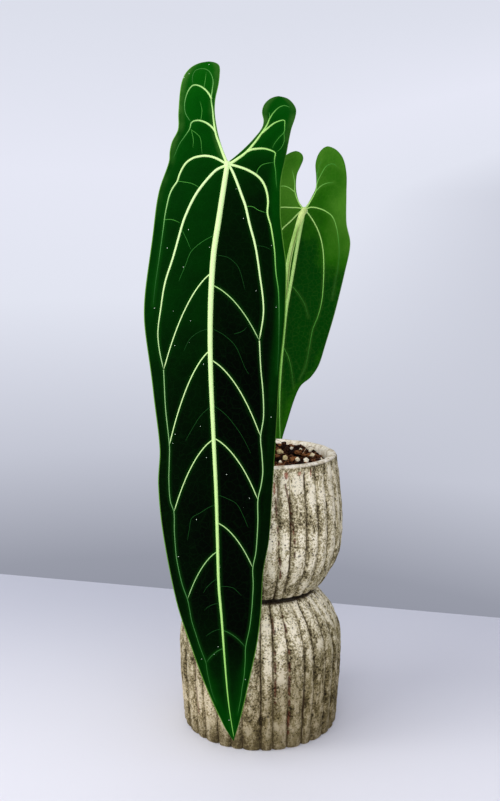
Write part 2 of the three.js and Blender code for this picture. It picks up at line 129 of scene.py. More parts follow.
def smoothStep(value, low, high):
    u = np.clip((value - low) / (high - low), 0, 1)
    return u * u * (3 - 2 * u)


def lumps(points, size, shift=0):  # smooth noise, -1 to 1, whose lumps are `size` mm across
    places = (Vector(point) / size + Vector((shift, 0, 0)) for point in points.tolist())
    return np.array([noise.noise(place) for place in places])


def ringTurns(count):  # even turns round a ring
    return np.linspace(0, 2 * math.pi, count, endpoint=False)


def ringPoints(radius, turns, height, middle=0):  # a level ring round x = middle
    places = (middle + radius * np.cos(turns), radius * np.sin(turns), height)
    return np.stack(np.broadcast_arrays(*places), 1).astype(float)


def gridFaces(rows, columns, closed=False, capped=False):  # quads between rows of points
    last = columns if closed else columns - 1
    faces = [
        (r * columns + c, r * columns + (c + 1) % columns, (r + 1) * columns + (c + 1) % columns,
         (r + 1) * columns + c)
        for r in range(rows - 1) for c in range(last)
    ]
    ends = [tuple(range(columns)), tuple(range((rows - 1) * columns, rows * columns))]
    return faces + ends if capped else faces


def makeObject(name, parts, materials, smooth=True, outward=True):
    # One object from parts, each a dictionary of points in mm, faces and marks, which are numbers
    # at the points that a material reads by name
    mesh = bpy.data.meshes.new(name)
    starts = np.cumsum([0] + [len(part["points"]) for part in parts]).tolist()
    faces = [tuple(i + start for i in face) for part, start in zip(parts, starts) for face in part["faces"]]
    mesh.from_pydata((np.concatenate([part["points"] for part in parts]) * mm).tolist(), [], faces)
    for mark in sorted(parts[0].get("marks", {})):
        values = [np.broadcast_to(part["marks"][mark], len(part["points"])) for part in parts]
        values = np.concatenate(values).astype(np.float32)
        mesh.attributes.new(mark, "FLOAT", "POINT").data.foreach_set("value", values)
    body = bmesh.new()
    body.from_mesh(mesh)
    bmesh.ops.remove_doubles(body, verts=body.verts, dist=2e-6)
    bmesh.ops.dissolve_degenerate(body, edges=body.edges, dist=1e-7)
    if outward:
        bmesh.ops.recalc_face_normals(body, faces=body.faces)
    body.to_mesh(mesh)
    body.free()
    if smooth:
        mesh.shade_smooth()
    for material in materials:
        mesh.materials.append(material)
    thing = bpy.data.objects.new(name, mesh)
    bpy.context.scene.collection.objects.link(thing)
    return thing


def makePiece(name, parts, materials, standsFor=(), smooth=True, outward=True):
    piece = makeObject(name, parts, materials, smooth, outward)
    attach(piece, "root")
    if standsFor:
        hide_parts(*standsFor)
    return piece


def makeSolid(piece, thickness):  # gives a sheet its thickness, half to each side
    solid = piece.modifiers.new("thickness", "SOLIDIFY")
    solid.thickness, solid.offset = thickness * mm, 0
    return solid


def tubePart(line, radii, marks=None):  # round body along a line; radii for each ring or ring point
    forward = np.gradient(line, axis=0)
    forward /= np.linalg.norm(forward, axis=1, keepdims=True)
    turns = ringTurns(radii.shape[1])[:, None]
    out = np.array([0.0, -1.0, 0.0])  # ring points start on the camera's side
    rings = []
    for centre, ahead, radius in zip(line, forward, radii):
        out = out - ahead * (out @ ahead)
        out /= np.linalg.norm(out)
        around = np.cos(turns) * out + np.sin(turns) * np.cross(ahead, out)
        rings.append(centre + radius[:, None] * around)
    faces = gridFaces(len(line), len(turns), closed=True, capped=True)
    return {"points": np.concatenate(rings), "faces": faces, "marks": marks or {}}


def unitBall(level):  # even ball of triangles, as points and faces
    ball = bmesh.new()
    bmesh.ops.create_icosphere(ball, subdivisions=level, radius=1)
    points = np.array([corner.co[:] for corner in ball.verts])
    faces = [tuple(corner.index for corner in face.verts) for face in ball.faces]
    ball.free()
    return points, faces


balls = {level: unitBall(level) for level in (2, 3)}


def lumpPart(centre, size, turn, rough, square, seed, level=2, marks=None):
    # Irregular lump: 0 for `square` is an egg, 1 a block; `rough` is how far its face is knocked about
    points, faces = balls[level]
    blocky = points / np.abs(points).max(axis=1, keepdims=True)
    shape = points * (1 - square) + blocky * square * 0.8
    shape = shape * (1 + rough * lumps(points, 0.7, seed * 3.1))[:, None]
    turned = shape * np.array(size) @ np.array(Euler(turn).to_matrix()).T
    return {"points": turned + np.array(centre), "faces": faces, "marks": marks or {}}


# Camera, at the photograph's viewing angle

photoView = {
    "frame": (500, 801),  # pixels
    "focal": 929.2,  # pixels
    "place": (-8.7, -750, 376.1),
    "pitch": 8.05,  # degrees below level
    "sensor": 36,  # mm, along the frame's long side
}


def makeCamera():
    camera = bpy.data.objects.new("camera", bpy.data.cameras.new("camera"))
    camera.data.sensor_width = photoView["sensor"]
    camera.data.lens = photoView["focal"] * photoView["sensor"] / max(photoView["frame"])
    camera.data.clip_start = 0.05
    camera.location = Vector(photoView["place"]) * mm
    camera.rotation_euler = (math.radians(90 - photoView["pitch"]), 0, 0)
    bpy.context.scene.collection.objects.link(camera)
    bpy.context.scene.camera = camera


makeCamera()
print("camera set")


# Pot: hourglass of cast cement, its ribs cut by hand, under an old lime wash

pot = {
    # Profile as (height, radius)
    "lowerBulb": [
        (0, 63.4), (1.2, 64.3), (25, 66), (55, 67.8), (80, 66.8), (97, 59.8), (106, 52.6), (113, 46.8),
    ],
    "upperBulb": [
        (118.6, 49.8), (122, 52.8), (132, 59), (141, 63.6), (152, 66.8), (175, 67.9), (205, 65.3),
        (222, 62.9),
    ],
    "crease": [(114.1, 44.6), (115.1, 41.4), (117, 41.2), (117.8, 46.2)],
    "lip": [(225.4, 62.4), (227.2, 61.5), (228, 60), (228, 57.6), (227.2, 56.2), (225.4, 55.2)],
    "inside": [
        (220, 55), (205, 57), (175, 59.2), (150, 58), (132, 49.5), (116, 38.6), (97, 49), (80, 57.8),
        (50, 59), (20, 56.5), (12, 50), (12, 25),
    ],
    "floor": 12,  # height of the inside's bottom
    "ribEnd": 225,
    "lipFoot": 226,
    "wornLip": 0.35,
    "ribCount": 34,
    "ribUnevenness": 0.13,
    "lowerTurn": -1.7,  # degrees
    "upperTurn": -0.1,
    "wander": 0.45,  # how far a groove strays from its line
    "rowStep": 1.35,
    "ribShares": (0, 0.035, 0.075, 0.13, 0.21, 0.32, 0.44, 0.56, 0.68, 0.79, 0.87, 0.925, 0.965),
    "crown": 1.5,  # how far a rib's sides fall away from its face
    "cut": 1.7,  # groove's depth
    "cutShare": 0.085,  # groove's half width, as a share of a rib
    "wear": [(0.35, 9, 0), (0.28, 3.4, 5), (0.2, 1.6, 9)],  # height of the lumps, their size, shift
    "creaseShadeLine": (116.3, 3.1),  # height and half width of the painted shade in the crease
    "insideWear": 0.3,
    "pits": 900,
    "pitSize": (0.6, 1.7),
    "pitDepth": 0.9,
    "crackDepth": 0.5,
    # Rust spots at (turn from -Y towards +X in degrees, height, half width in degrees, half height)
    "spots": [
        (17.4, 221, 2.2, 3.4), (27.4, 221.5, 2, 2.4), (37.1, 221, 1.1, 4), (8.6, 212, 1.3, 6),
        (88, 218, 1.5, 5), (-47, 217, 2, 4), (150, 219, 2.4, 4), (-120, 190, 1.4, 6),
        (-160, 50, 1.6, 7), (-175, 221, 2.2, 3),
    ],
    # Hairline cracks that rust bleeds from, from (turn, height) down to (turn, height)
    "cracks": [
        ((9.1, 208), (13.6, 139)), ((16.3, 215), (19.4, 197)), ((19.4, 197), (20.4, 182)),
        ((21, 192), (22.7, 156)), ((19.6, 106), (19.8, 12)), ((9.5, 104), (9.5, 40)),
        ((-52, 96), (-50, 20)), ((-44, 208), (-47, 150)), ((110, 90), (112, 22)),
        ((150, 205), (147, 138)), ((-150, 200), (-146, 150)), ((95, 198), (97, 170)),
    ],
    "crackHalf": 0.75,  # degrees
}


def grooveTurn(k, phase):  # degrees from +X, the same uneven cut as the solid's
    uneven = pot["ribUnevenness"] * np.sin(2.4 * k + 3 * phase)
    return phase - 90 + (k + uneven) * 360 / pot["ribCount"]


def potRows():  # (height, radius, share of the rib cut, turn) from the foot's middle round to the inside
    lower = np.arange(0, pot["lowerBulb"][-1][0], pot["rowStep"])
    upper = np.arange(pot["upperBulb"][0][0], pot["ribEnd"], pot["rowStep"])
    fade = smoothStep(pot["lipFoot"] - upper, 0, 8)
    rows = [(0, radius, 0, pot["lowerTurn"]) for radius in (1, 30, 56)]
    rows += [(z, float(along(pot["lowerBulb"], z)), 1, pot["lowerTurn"]) for z in lower]
    rows += [(z, radius, 0.5, -0.9) for z, radius in pot["crease"]]
    rows += [(z, float(along(pot["upperBulb"], z)), cut, pot["upperTurn"]) for z, cut in zip(upper, fade)]
    rows += [(z, radius, 0, pot["upperTurn"]) for z, radius in pot["lip"] + pot["inside"]]
    return rows + [(pot["floor"], 1, 0, pot["upperTurn"])]


def potGrid():  # its points, how far each lies in a groove (with painted shade in the crease) and up a rib (for the painted highlight on its crest), and whether it's outside
    rows = potRows()
    shares = np.array(pot["ribShares"])
    k = np.repeat(np.arange(pot["ribCount"]), len(shares))
    share = np.tile(shares, pot["ribCount"])
    fromGroove = np.minimum(share, 1 - share)
    groove = np.exp(-(fromGroove / pot["cutShare"]) ** 2)
    points, grooveDirtAndCreaseShade, crestHighlights = [], [], []
    creaseShadeLine, creaseShadeHalf = pot["creaseShadeLine"]
    for height, radius, cutShare, phase in rows:
        left, right = grooveTurn(k, phase), grooveTurn(k + 1, phase)
        turn = np.radians(left + (right - left) * share)
        wander = 0.5 * np.sin(height / 17 + 1.7 * k) + 0.35 * np.sin(height / 7 + 2.9 * k)
        turn += np.radians(wander * pot["wander"]) * (height > 0)
        deep = 0.75 + 0.25 * np.sin(height / 31 + 4.3 * k)
        cut = pot["crown"] * (1 - 2 * fromGroove) ** 2 + pot["cut"] * deep * groove
        points.append(ringPoints(radius - cutShare * cut, turn, height))
        creaseShade = math.exp(-((height - creaseShadeLine) / creaseShadeHalf) ** 4)  # painted shade darkens the crease all round
        # the groove mark holds dirt in the grooves and painted shade in the crease
        grooveDirtAndCreaseShade.append(np.maximum(groove * deep * min(1, cutShare * 1.2), 1.5 * creaseShade))
        crestHighlights.append((2 * fromGroove) ** 0.7 * cutShare)
    points = np.concatenate(points)
    firstInside = (len(rows) - len(pot["inside"]) - 3) * len(k)
    outside = (points[:, 2] > 0.5) * (np.arange(len(points)) < firstInside)
    return points, np.concatenate(grooveDirtAndCreaseShade), np.concatenate(crestHighlights), outside


def pitMarks(points, outside):  # small blowholes
    height = points[:, 2]
    pitted = np.zeros(len(points))
    draw = random.Random(7)
    for _ in range(pot["pits"]):
        angle, middle = draw.uniform(0, 2 * math.pi), draw.uniform(3, 222)
        size = draw.uniform(*pot["pitSize"])
        spot = np.array([66 * math.cos(angle), 66 * math.sin(angle), middle])
        near = np.flatnonzero((np.abs(height - middle) < 3) & outside.astype(bool))
        gap = points[near] - spot
        across = gap[:, 0] * -math.sin(angle) + gap[:, 1] * math.cos(angle)
        facing = points[near, 0] * spot[0] + points[near, 1] * spot[1] > 0
        pit = facing * np.exp(-(np.hypot(across, 0.6 * gap[:, 2]) / (0.6 * size)) ** 2)
        pitted[near] = np.maximum(pitted[near], pit)
    return pitted


def turnFrom(points, turn):  # degrees round the pot from a turn, which counts from -Y towards +X
    bearing = np.degrees(np.arctan2(points[:, 0], -points[:, 1]))
    return (bearing - turn + 180) % 360 - 180


def spotMarks(points):  # rust spots
    stained = np.zeros(len(points))
    for turn, middle, wide, tall in pot["spots"]:
        away = (turnFrom(points, turn) / wide) ** 2 + ((points[:, 2] - middle) / tall) ** 4
        stained = np.maximum(stained, np.exp(-away))
    return stained


def crackMarks(points):  # hairline cracks, broken here and there
    height = points[:, 2]
    dashes = smoothStep(lumps(points * [0.2, 0.2, 1], 6, 6), -0.3, 0.05)
    cracked = np.zeros(len(points))
    for (topTurn, top), (footTurn, foot) in pot["cracks"]:
        away = turnFrom(points, np.interp(height, [foot, top], [footTurn, topTurn])) / pot["crackHalf"]
        inside = (height > foot) & (height < top)
        cracked = np.maximum(cracked, inside * dashes * np.exp(-away**2))
    return cracked


def paintedShadeMarks(points):  # painted shade on the upper bulb's underside, both flanks and the foot
    x, height = points[:, 0], points[:, 2]
    low = smoothStep(70 - height + 0.9 * x, 0, 50)
    low += 0.65 * smoothStep(-x, 42, 64) * smoothStep(height, 20, 50)
    high = 0.7 * smoothStep(height, 166, 128) + 0.5 * smoothStep(x, 42, 66)
    high += 0.12 * smoothStep(height, 185, 215)
    return np.minimum(np.where(height < 116, low, high), 1)


def makePot(cement):
    # the crest mark is a painted highlight along the ribs' crests
    points, groove, crest, outside = potGrid()
    radius, height = np.hypot(points[:, 0], points[:, 1]), points[:, 2].copy()
    pitted, cracked = pitMarks(points, outside), crackMarks(points)
    marks = {
        # the groove mark holds dirt in the grooves and painted shade in the crease
        "groove": groove, "crest": crest, "pit": pitted, "crack": cracked * outside,
        "lip": smoothStep(height, pot["lipFoot"], 227.6) + (1 - outside) * (height > 100),
        "stain": spotMarks(points) * np.maximum(outside, height > 214),
    }
    worn = sum(rise * lumps(points, size, shift) for rise, size, shift in pot["wear"])
    reach = radius + outside * (worn - pot["pitDepth"] * pitted - pot["crackDepth"] * cracked)
    reach += (1 - outside) * (height > 20) * pot["insideWear"] * lumps(points, 6, 2)
    points[:, :2] *= (reach / np.maximum(radius, 1))[:, None]
    # painted shade on the underside, the flanks and the foot
    marks["damp"] = paintedShadeMarks(points) * outside
    points[:, 2] -= (height > pot["lipFoot"]) * pot["wornLip"] * (1 + lumps(points, 11, 8))
    columns = pot["ribCount"] * len(pot["ribShares"])
    faces = gridFaces(len(points) // columns, columns, closed=True)
    part = {"points": points, "faces": faces, "marks": marks}
    return makePiece("cementPot", [part], [cement], ["pot"])


# Cast cement, cut while green and lime-washed: chalky and matt, cream, with a painted highlight along the
# ribs' crests, peppered with small blowholes, with dirt in the grooves and rust bleeding from spots and
# hairline cracks, and painted shade in the crease, under the upper bulb, on the flanks and at the foot
def castCement():
    marks = ("groove", "crest", "lip", "pit", "crack", "stain", "damp")
    material, add, place, *reads = startMaterial("castCement", *marks)
    groove, crest, lip, pit, crack, stain, damp = reads
    tall = add("Mapping", {"Vector": place, "Scale": (1, 1, 0.45)})
    cloud = add("TexNoise", {"Vector": place, "Scale": perMetre(24), "Detail": 3})
    blotch = add("TexNoise", {"Vector": tall, "Scale": perMetre(5), "Detail": 5, "Roughness": 0.7})
    grit = add("TexNoise", {"Vector": place, "Scale": perMetre(1.6), "Detail": 3, "Roughness": 0.7})
    worn = add("Math", [blotch, 0.7], operation="MULTIPLY")
    # the crest mark adds a painted highlight along the ribs' crests
    for pattern, share in ((cloud, 0.6), (crest, 0.2), (grit, 0.95)):
        worn = add("Math", [pattern, share, worn], operation="MULTIPLY_ADD")
    limed = add("ValToRGB", [add("MapRange", [worn, 0.92, 1.52])], stops=[
        (0.14, "#3A3021"), (0.3, "#7C7152"), (0.46, "#ABA07C"), (0.58, "#D2C7A4"), (0.7, "#F5ECD2"),
    ])
    height = add("SeparateXYZ", [place]).outputs["Z"]
    # painted shade, darker and browner towards the foot
    footShade = add("MapRange", [height, 0.1, 0.03, 0, 0.5], **soft)
    # painted shade on the upper bulb's underside, the flanks and the foot, lifted where the blotches are
    # bright
    shadeBreak = add("MapRange", [blotch, 0.46, 0.62, 1, 0.55])
    shadeShare = add("Math", [damp, shadeBreak], operation="MULTIPLY")
    colour = limed
    for share, tone in ((footShade, "#B4A382"), (shadeShare, "#A6A28C")):
        colour = add("MixRGB", [share, colour, tone], blend_type="MULTIPLY")
    shake = add("TexNoise", {"Vector": place, "Scale": perMetre(2.5), "Detail": 2})
    shaken = add("MixRGB", [0.0012, place, shake.outputs["Color"]])
    thick = add("MapRange", [blotch, 0.66, 0.42])
    for across, most, tone, strong in ((2.4, 0.3, "#2A2114", 0.92), (1.5, 0.28, "#3E3420", 0.85)):
        holes = add("TexVoronoi", {"Vector": shaken, "Scale": perMetre(across)})
        size = add("SeparateColor", [holes.outputs["Color"]])
        edge = add("Math", [size, -most, holes.outputs["Distance"]], operation="MULTIPLY_ADD")
        speck = add("MapRange", [edge, 0.1, 0, 0, strong], **soft)
        shown = add("Math", [speck, thick], operation="MULTIPLY")
        colour = add("MixRGB", [shown, colour, tone])
    # dirt in the grooves, and painted shade in the crease, where the mark runs deep and goes near black
    grooveDirtAndShade = add("Math", [groove, blotch], operation="MULTIPLY")
    bled = add("Math", [stain, blotch], operation="MULTIPLY")
    deep = add("MapRange", [groove, 0.85, 1.3])
    limeRim, rust, darkRust = [
        add("ValToRGB", [pattern], stops=stops) for pattern, stops in (
            (blotch, [(0.32, "#A08F6E"), (0.43, "#E4D6BC"), (0.56, "#FFF7E8")]),
            (grit, [(0.38, "#5A2A18"), (0.5, "#8E4A32"), (0.62, "#C08262")]),
            (grit, [(0.4, "#241009"), (0.52, "#4C2414"), (0.62, "#7C4630")]),
        )
    ]
    layers = [
        (add("MapRange", [lip, 0.1, 0.9, 0, 0.88]), limeRim),
        # painted shade along the foot, by the floor
        (add("MapRange", [height, 0.03, 0, 0, 0.45], **soft), "#5E5238"),
        (add("MapRange", [grooveDirtAndShade, 0.2, 0.5, 0, 0.94], **soft),
         add("MixRGB", [deep, "#3A2A19", "#120B06"])),
        (add("MapRange", [pit, 0.3, 0.8, 0, 0.85]), "#241D12"),
        (add("MapRange", [bled, 0.2, 0.46, 0, 0.85], **soft), rust),
        (add("MapRange", [crack, 0.2, 0.7, 0, 0.85]), darkRust),
    ]
    for share, tone in layers:
        colour = add("MixRGB", [share, colour, tone])
    coarse = add("Bump", {"Strength": 0.6, "Distance": 0.8 * mm, "Height": blotch})
    fine = add("Bump", {"Strength": 0.5, "Distance": 0.4 * mm, "Height": grit, "Normal": coarse})
    matt = add("MapRange", [cloud, 0, 1, 0.8, 0.98])
    return endMaterial(material, colour, fine, 0.15, matt)


makePot(castCement())
print("pot made")


# Bark mix: chips of fir bark and grains of pumice, heaped towards the stem

mix = {
    "edge": 213.5,
    "heap": {"rise": 13, "middle": (14, 22), "reach": 26},
    "radius": 56.2,
    "rings": 62,
    "sides": 170,
    "under": [(56, 203), (57.5, 190), (30, 190), (1, 190)],  # sides and floor, as (radius, height)
    "chips": 460,
    "chipSize": (2.2, 5.6),
    "chipReach": 55.5,
    "crumbs": 460,
    "crumbSize": 0.36,  # next to a chip
    "roughness": 0.34,
    # Grains of pumice that show from the front, at [x, y, size]
    "shownGrains": [
        (16, 3, 3.1), (20, -6, 2.5), (16, -13, 1.5), (26, 15, 1.7), (34, 18, 1.5), (30, -7, 2.2),
        (37, -7, 2.6), (43, 9, 2.5), (43, 27, 2.0), (50, 4, 1.5),
    ],
    "grains": 46,
    "grainSize": (1.3, 2.9),
    "fibres": [
        [(35, 4, 1.5), (38, 9, 4.5), (42, 15, 5.5), (46, 20, 4)],
        [(-30, -20, 1), (-22, -24, 4), (-13, -23, 2)],
        [(5, 40, 1.5), (12, 42, 4), (20, 39, 1)],
        [(-40, 12, 1), (-36, 20, 4.5), (-30, 25, 2)],
    ],
}


def heapHeight(x, y):
    heap = mix["heap"]
    away = ((x - heap["middle"][0]) ** 2 + (y - heap["middle"][1]) ** 2) / heap["reach"] ** 2
    return mix["edge"] + heap["rise"] * np.exp(-away / 2)


def insidePot(points, clear=0.4):  # draws points in to stay inside the pot's wall
    inside = sorted(pot["inside"][:6])
    limit = np.interp(points[:, 2], [z for z, _ in inside], [r for _, r in inside]) - clear
    radius = np.hypot(points[:, 0], points[:, 1])
    points[:, :2] *= np.minimum(1, limit / np.maximum(radius, 1))[:, None]
    return points


def makeBed(material):
    turns = ringTurns(mix["sides"])
    flat = [ringPoints(radius, turns, 0) for radius in np.linspace(0.5, mix["radius"], mix["rings"])]
    top = np.concatenate(flat)
    top[:, 2] = heapHeight(top[:, 0], top[:, 1])
    top[:, 2] += 1.6 * np.abs(lumps(top, 5)) + 1.2 * lumps(top, 2.4, 4) - 1.0
    under = [ringPoints(radius, turns, height) for radius, height in mix["under"]]
    points = insidePot(np.concatenate([top, *under]))
    faces = gridFaces(len(points) // len(turns), len(turns), closed=True)
    return makePiece("mixBed", [{"points": points, "faces": faces}], [material], ["potting_mix"])


def makeChips(material):
    draw = random.Random(11)
    golden = math.pi * (3 - math.sqrt(5))
    parts = []
    for k in range(mix["chips"] + mix["crumbs"]):
        crumb = k >= mix["chips"]
        share = ((k % mix["chips"]) + 0.5) / mix["chips"]
        radius = mix["chipReach"] * math.sqrt(share)
        turn = k * golden + draw.uniform(0, 0.5)
        x, y = radius * math.cos(turn), radius * math.sin(turn)
        long = draw.uniform(*mix["chipSize"]) * (mix["crumbSize"] if crumb else 1)
        size = (long, long * draw.uniform(0.5, 0.8), long * draw.uniform(0.32, 0.6))
        tip = 1.1 if draw.random() < 0.3 else 0.45
        tilt = (draw.uniform(-tip, tip), draw.uniform(-tip, tip), draw.uniform(0, math.pi))
        lift = draw.uniform(0.1, 0.55) * long * 0.6 + (1.2 if crumb else 0.2)
        centre = (x, y, float(heapHeight(x, y)) + lift)
        square = draw.uniform(0.45, 0.85)
        part = lumpPart(centre, size, tilt, mix["roughness"], square, k, marks={"tint": draw.random()})
        part["points"] = insidePot(part["points"])
        parts.append(part)
    return makePiece("barkChips", parts, [material], smooth=False)


def makeGrains(material):
    draw = random.Random(5)
    spots = list(mix["shownGrains"])
    while len(spots) < mix["grains"]:
        x, y = draw.uniform(-52, 52), draw.uniform(-52, 52)
        hidden = x < 12 or y < -25 or y > 40
        if math.hypot(x, y) < 51 and hidden:
            spots.append((x, y, draw.uniform(*mix["grainSize"])))
    parts = []
    for k, (x, y, size) in enumerate(spots):
        centre = (x, y, float(heapHeight(x, y)) + 2.2 + 0.35 * size)
        shape = (size, size * draw.uniform(0.75, 1), size * draw.uniform(0.65, 0.9))
        turn = (draw.uniform(0, 3), draw.uniform(0, 3), draw.uniform(0, 3))
        marks = {"tint": 0.8 if k in (0, 1) else draw.random() * 0.5}
        parts.append(lumpPart(centre, shape, turn, mix["roughness"], 0.38, k + 40, 3, marks))
    return makePiece("pumiceGrains", parts, [material])


def makeFibres(material):
    parts = []
    for path in mix["fibres"]:
        lifted = [(x, y, float(heapHeight(x, y)) + 3 + rise) for x, y, rise in path]
        line = smoothLine(lifted, 1.2)
        radii = np.repeat(spread((0.12, 0.28, 0.28, 0.1), len(line))[:, None], 6, axis=1)
        parts.append(tubePart(line, radii))
    return makePiece("cocoFibres", parts, [material])


# Composted bark, shredded: nearly black where damp, red-brown on fresh breaks, quite matt
def barkMaterial(name, darkest, middle, lightest):
    material, add, place, tint = startMaterial(name, "tint")
    long = add("Mapping", {"Vector": place, "Scale": (1, 1, 2.5)})
    grain = add("TexNoise", {"Vector": long, "Scale": perMetre(2), "Detail": 4, "Roughness": 0.7})
    patch = add("TexNoise", {"Vector": place, "Scale": perMetre(7), "Detail": 2})
    tone = add("Math", [tint, 0.3, grain], operation="MULTIPLY_ADD")
    tone = add("Math", [patch, 0.35, tone], operation="MULTIPLY_ADD")
    colour = add("ValToRGB", [tone], stops=[(0.6, darkest), (0.86, middle), (1, lightest)])
    bump = add("Bump", {"Strength": 0.7, "Distance": 0.5 * mm, "Height": grain})
    return endMaterial(material, colour, bump, 0.08, 0.82)


# Pumice, crushed and sieved: dry cream stone, full of small holes
def pumiceStone():
    material, add, place, tint = startMaterial("pumiceStone", "tint")
    pores = add("TexVoronoi", {"Vector": place, "Scale": perMetre(0.8)})
    stain = add("TexNoise", {"Vector": place, "Scale": perMetre(1.8), "Detail": 3})
    body = add("MixRGB", [tint, "#FFF6E0", "#DCC682"])
    stained = add("MapRange", [stain, 0.55, 0.75, 0, 0.6])
    colour = add("MixRGB", [stained, body, "#7A5230"])
    bump = add("Bump", {"Strength": 0.6, "Distance": 0.4 * mm, "Height": pores})
    return endMaterial(material, colour, bump, 0.2, 0.95)


# Plain plant fibre or skin, dried in the air: thin streaks along it, between two browns
def driedSkin(name, dark, light, streakSize, roughness):
    material, add, place = startMaterial(name)
    long = add("Mapping", {"Vector": place, "Scale": (1, 1, 0.12)})
    streak = add("TexNoise", {
        "Vector": long, "Scale": perMetre(streakSize), "Detail": 5, "Roughness": 0.65,
    })
    colour = add("ValToRGB", [streak], stops=[(0.33, dark), (0.66, light)])
    bump = add("Bump", {"Strength": 0.5, "Distance": 0.4 * mm, "Height": streak})
    return endMaterial(material, colour, bump, 0.35, roughness)


# the bed shows between the chips: fine damp bark, near black as painted shade in the gaps
makeBed(barkMaterial("dampBarkFinesGapShade", "#030202", "#0C0604", "#1E110B"))
makeChips(barkMaterial("firBarkChips", "#060201", "#30150A", "#92603A"))
makeGrains(pumiceStone())
makeFibres(driedSkin("cocoFibre", "#9A8468", "#D8C8AC", 1, 0.8))
print("bark mix made")


# Stem: ringed with leaf scars, in dry sheaths, with thick roots into the mix

stem = {
    "foot": (-3, 0, 188),
    "height": 42,
    "radius": 9.6,
    "sides": 64,
    "rings": 90,
    "scars": 7,
    "roots": [
        [(-3, 0, 224), (-14, 5, 224), (-22, 11, 220), (-28, 15, 211)],
        [(-3, 0, 222), (6, -8, 223), (10, -17, 219), (12, -24, 210)],
        [(-3, 0, 225), (-2, 12, 226), (2, 20, 221), (6, 27, 211)],
        [(-3, 0, 226), (-10, -8, 226), (-15, -15, 221), (-19, -22, 210)],
        [(-3, 0, 220), (8, 4, 222), (14, 5, 219), (19, 6, 211)],
    ],
    "rootRadius": 1.75,
    # Sheaths at (turn in degrees, foot height, length, half width in degrees, lean outwards)
    "sheaths": [
        (200, 214, 38, 75, 3.5), (20, 216, 46, 70, 2.5), (110, 218, 33, 62, 4.5), (290, 215, 30, 66, 4),
    ],
    "sheathRadius": 10.6,
    "sheathGrid": (40, 33),
    "sheathThickness": 0.35,
}


def makeStem(material):
    turns = ringTurns(stem["sides"])
    middle, _, low = stem["foot"]
    rings = []
    for share in np.linspace(0, 1, stem["rings"]):
        scar = abs(math.sin(math.pi * stem["scars"] * share)) ** 0.6
        closing = 1 - 0.75 * max(0, (share - 0.93) / 0.07) ** 2
        radius = stem["radius"] * (0.86 + 0.12 * scar) * closing
        uneven = radius + 0.5 * np.sin(3 * turns + 6 * share)
        rings.append(ringPoints(uneven, turns, low + stem["height"] * share, middle))
    faces = gridFaces(stem["rings"], len(turns), closed=True, capped=True)
    points = np.concatenate(rings)
    away = points - np.array(stem["foot"]) * [1, 1, 0]
    points[:, :2] += away[:, :2] * (0.03 * lumps(points, 2.5))[:, None]
    return makePiece("ringedStem", [{"points": points, "faces": faces}], [material],
                     ["stem_base"])


def makeRoots(material):
    parts = []
    for path in stem["roots"]:
        line = smoothLine(path, 0.8)
        swell = 1 + 0.08 * np.sin(np.arange(len(line)) * 0.9)
        radii = (stem["rootRadius"] * spread((1, 0.95, 0.9, 0.7), len(line)) * swell)[:, None]
        parts.append(tubePart(line, np.repeat(radii, 14, axis=1)))
    return makePiece("aerialRoots", parts, [material])


def makeSheaths(material):
    rows, columns = stem["sheathGrid"]
    up, side = np.meshgrid(np.linspace(0, 1, rows), np.linspace(-1, 1, columns), indexing="ij")
    parts = []
    for turn, foot, length, half, lean in stem["sheaths"]:
        narrow = half * (1 - up**2.2) * (1 + 0.05 * np.sin(9 * up + turn))
        angle = np.radians(turn + side * narrow)
        radius = stem["sheathRadius"] - 2.2 * up + lean * up**2.5 * (1 - 0.35 * side**2)
        radius += 0.35 * np.sin(14 * side + 4 * up)
        x = stem["foot"][0] + radius * np.cos(angle)
        y = stem["foot"][1] + radius * np.sin(angle)
        z = foot + length * up * (1 - 0.12 * side**2)
        points = np.stack([x, y, z], 2).reshape(-1, 3)
        parts.append({"points": points, "faces": gridFaces(rows, columns)})
    sheaths = makePiece("drySheaths", parts, [material], outward=False)
    makeSolid(sheaths, stem["sheathThickness"])
    return sheaths


makeStem(driedSkin("stemCork", "#4A3320", "#8E6E48", 2.5, 0.8))
makeRoots(driedSkin("rootSkin", "#7C6A48", "#B7A67E", 2, 0.75))
makeSheaths(driedSkin("drySheath", "#6B4524", "#C39A62", 1.4, 0.6))
print("stem made")


# Leaves. Outlines, midribs and depths are the solids' own, as (height, x) or (height, y) stations

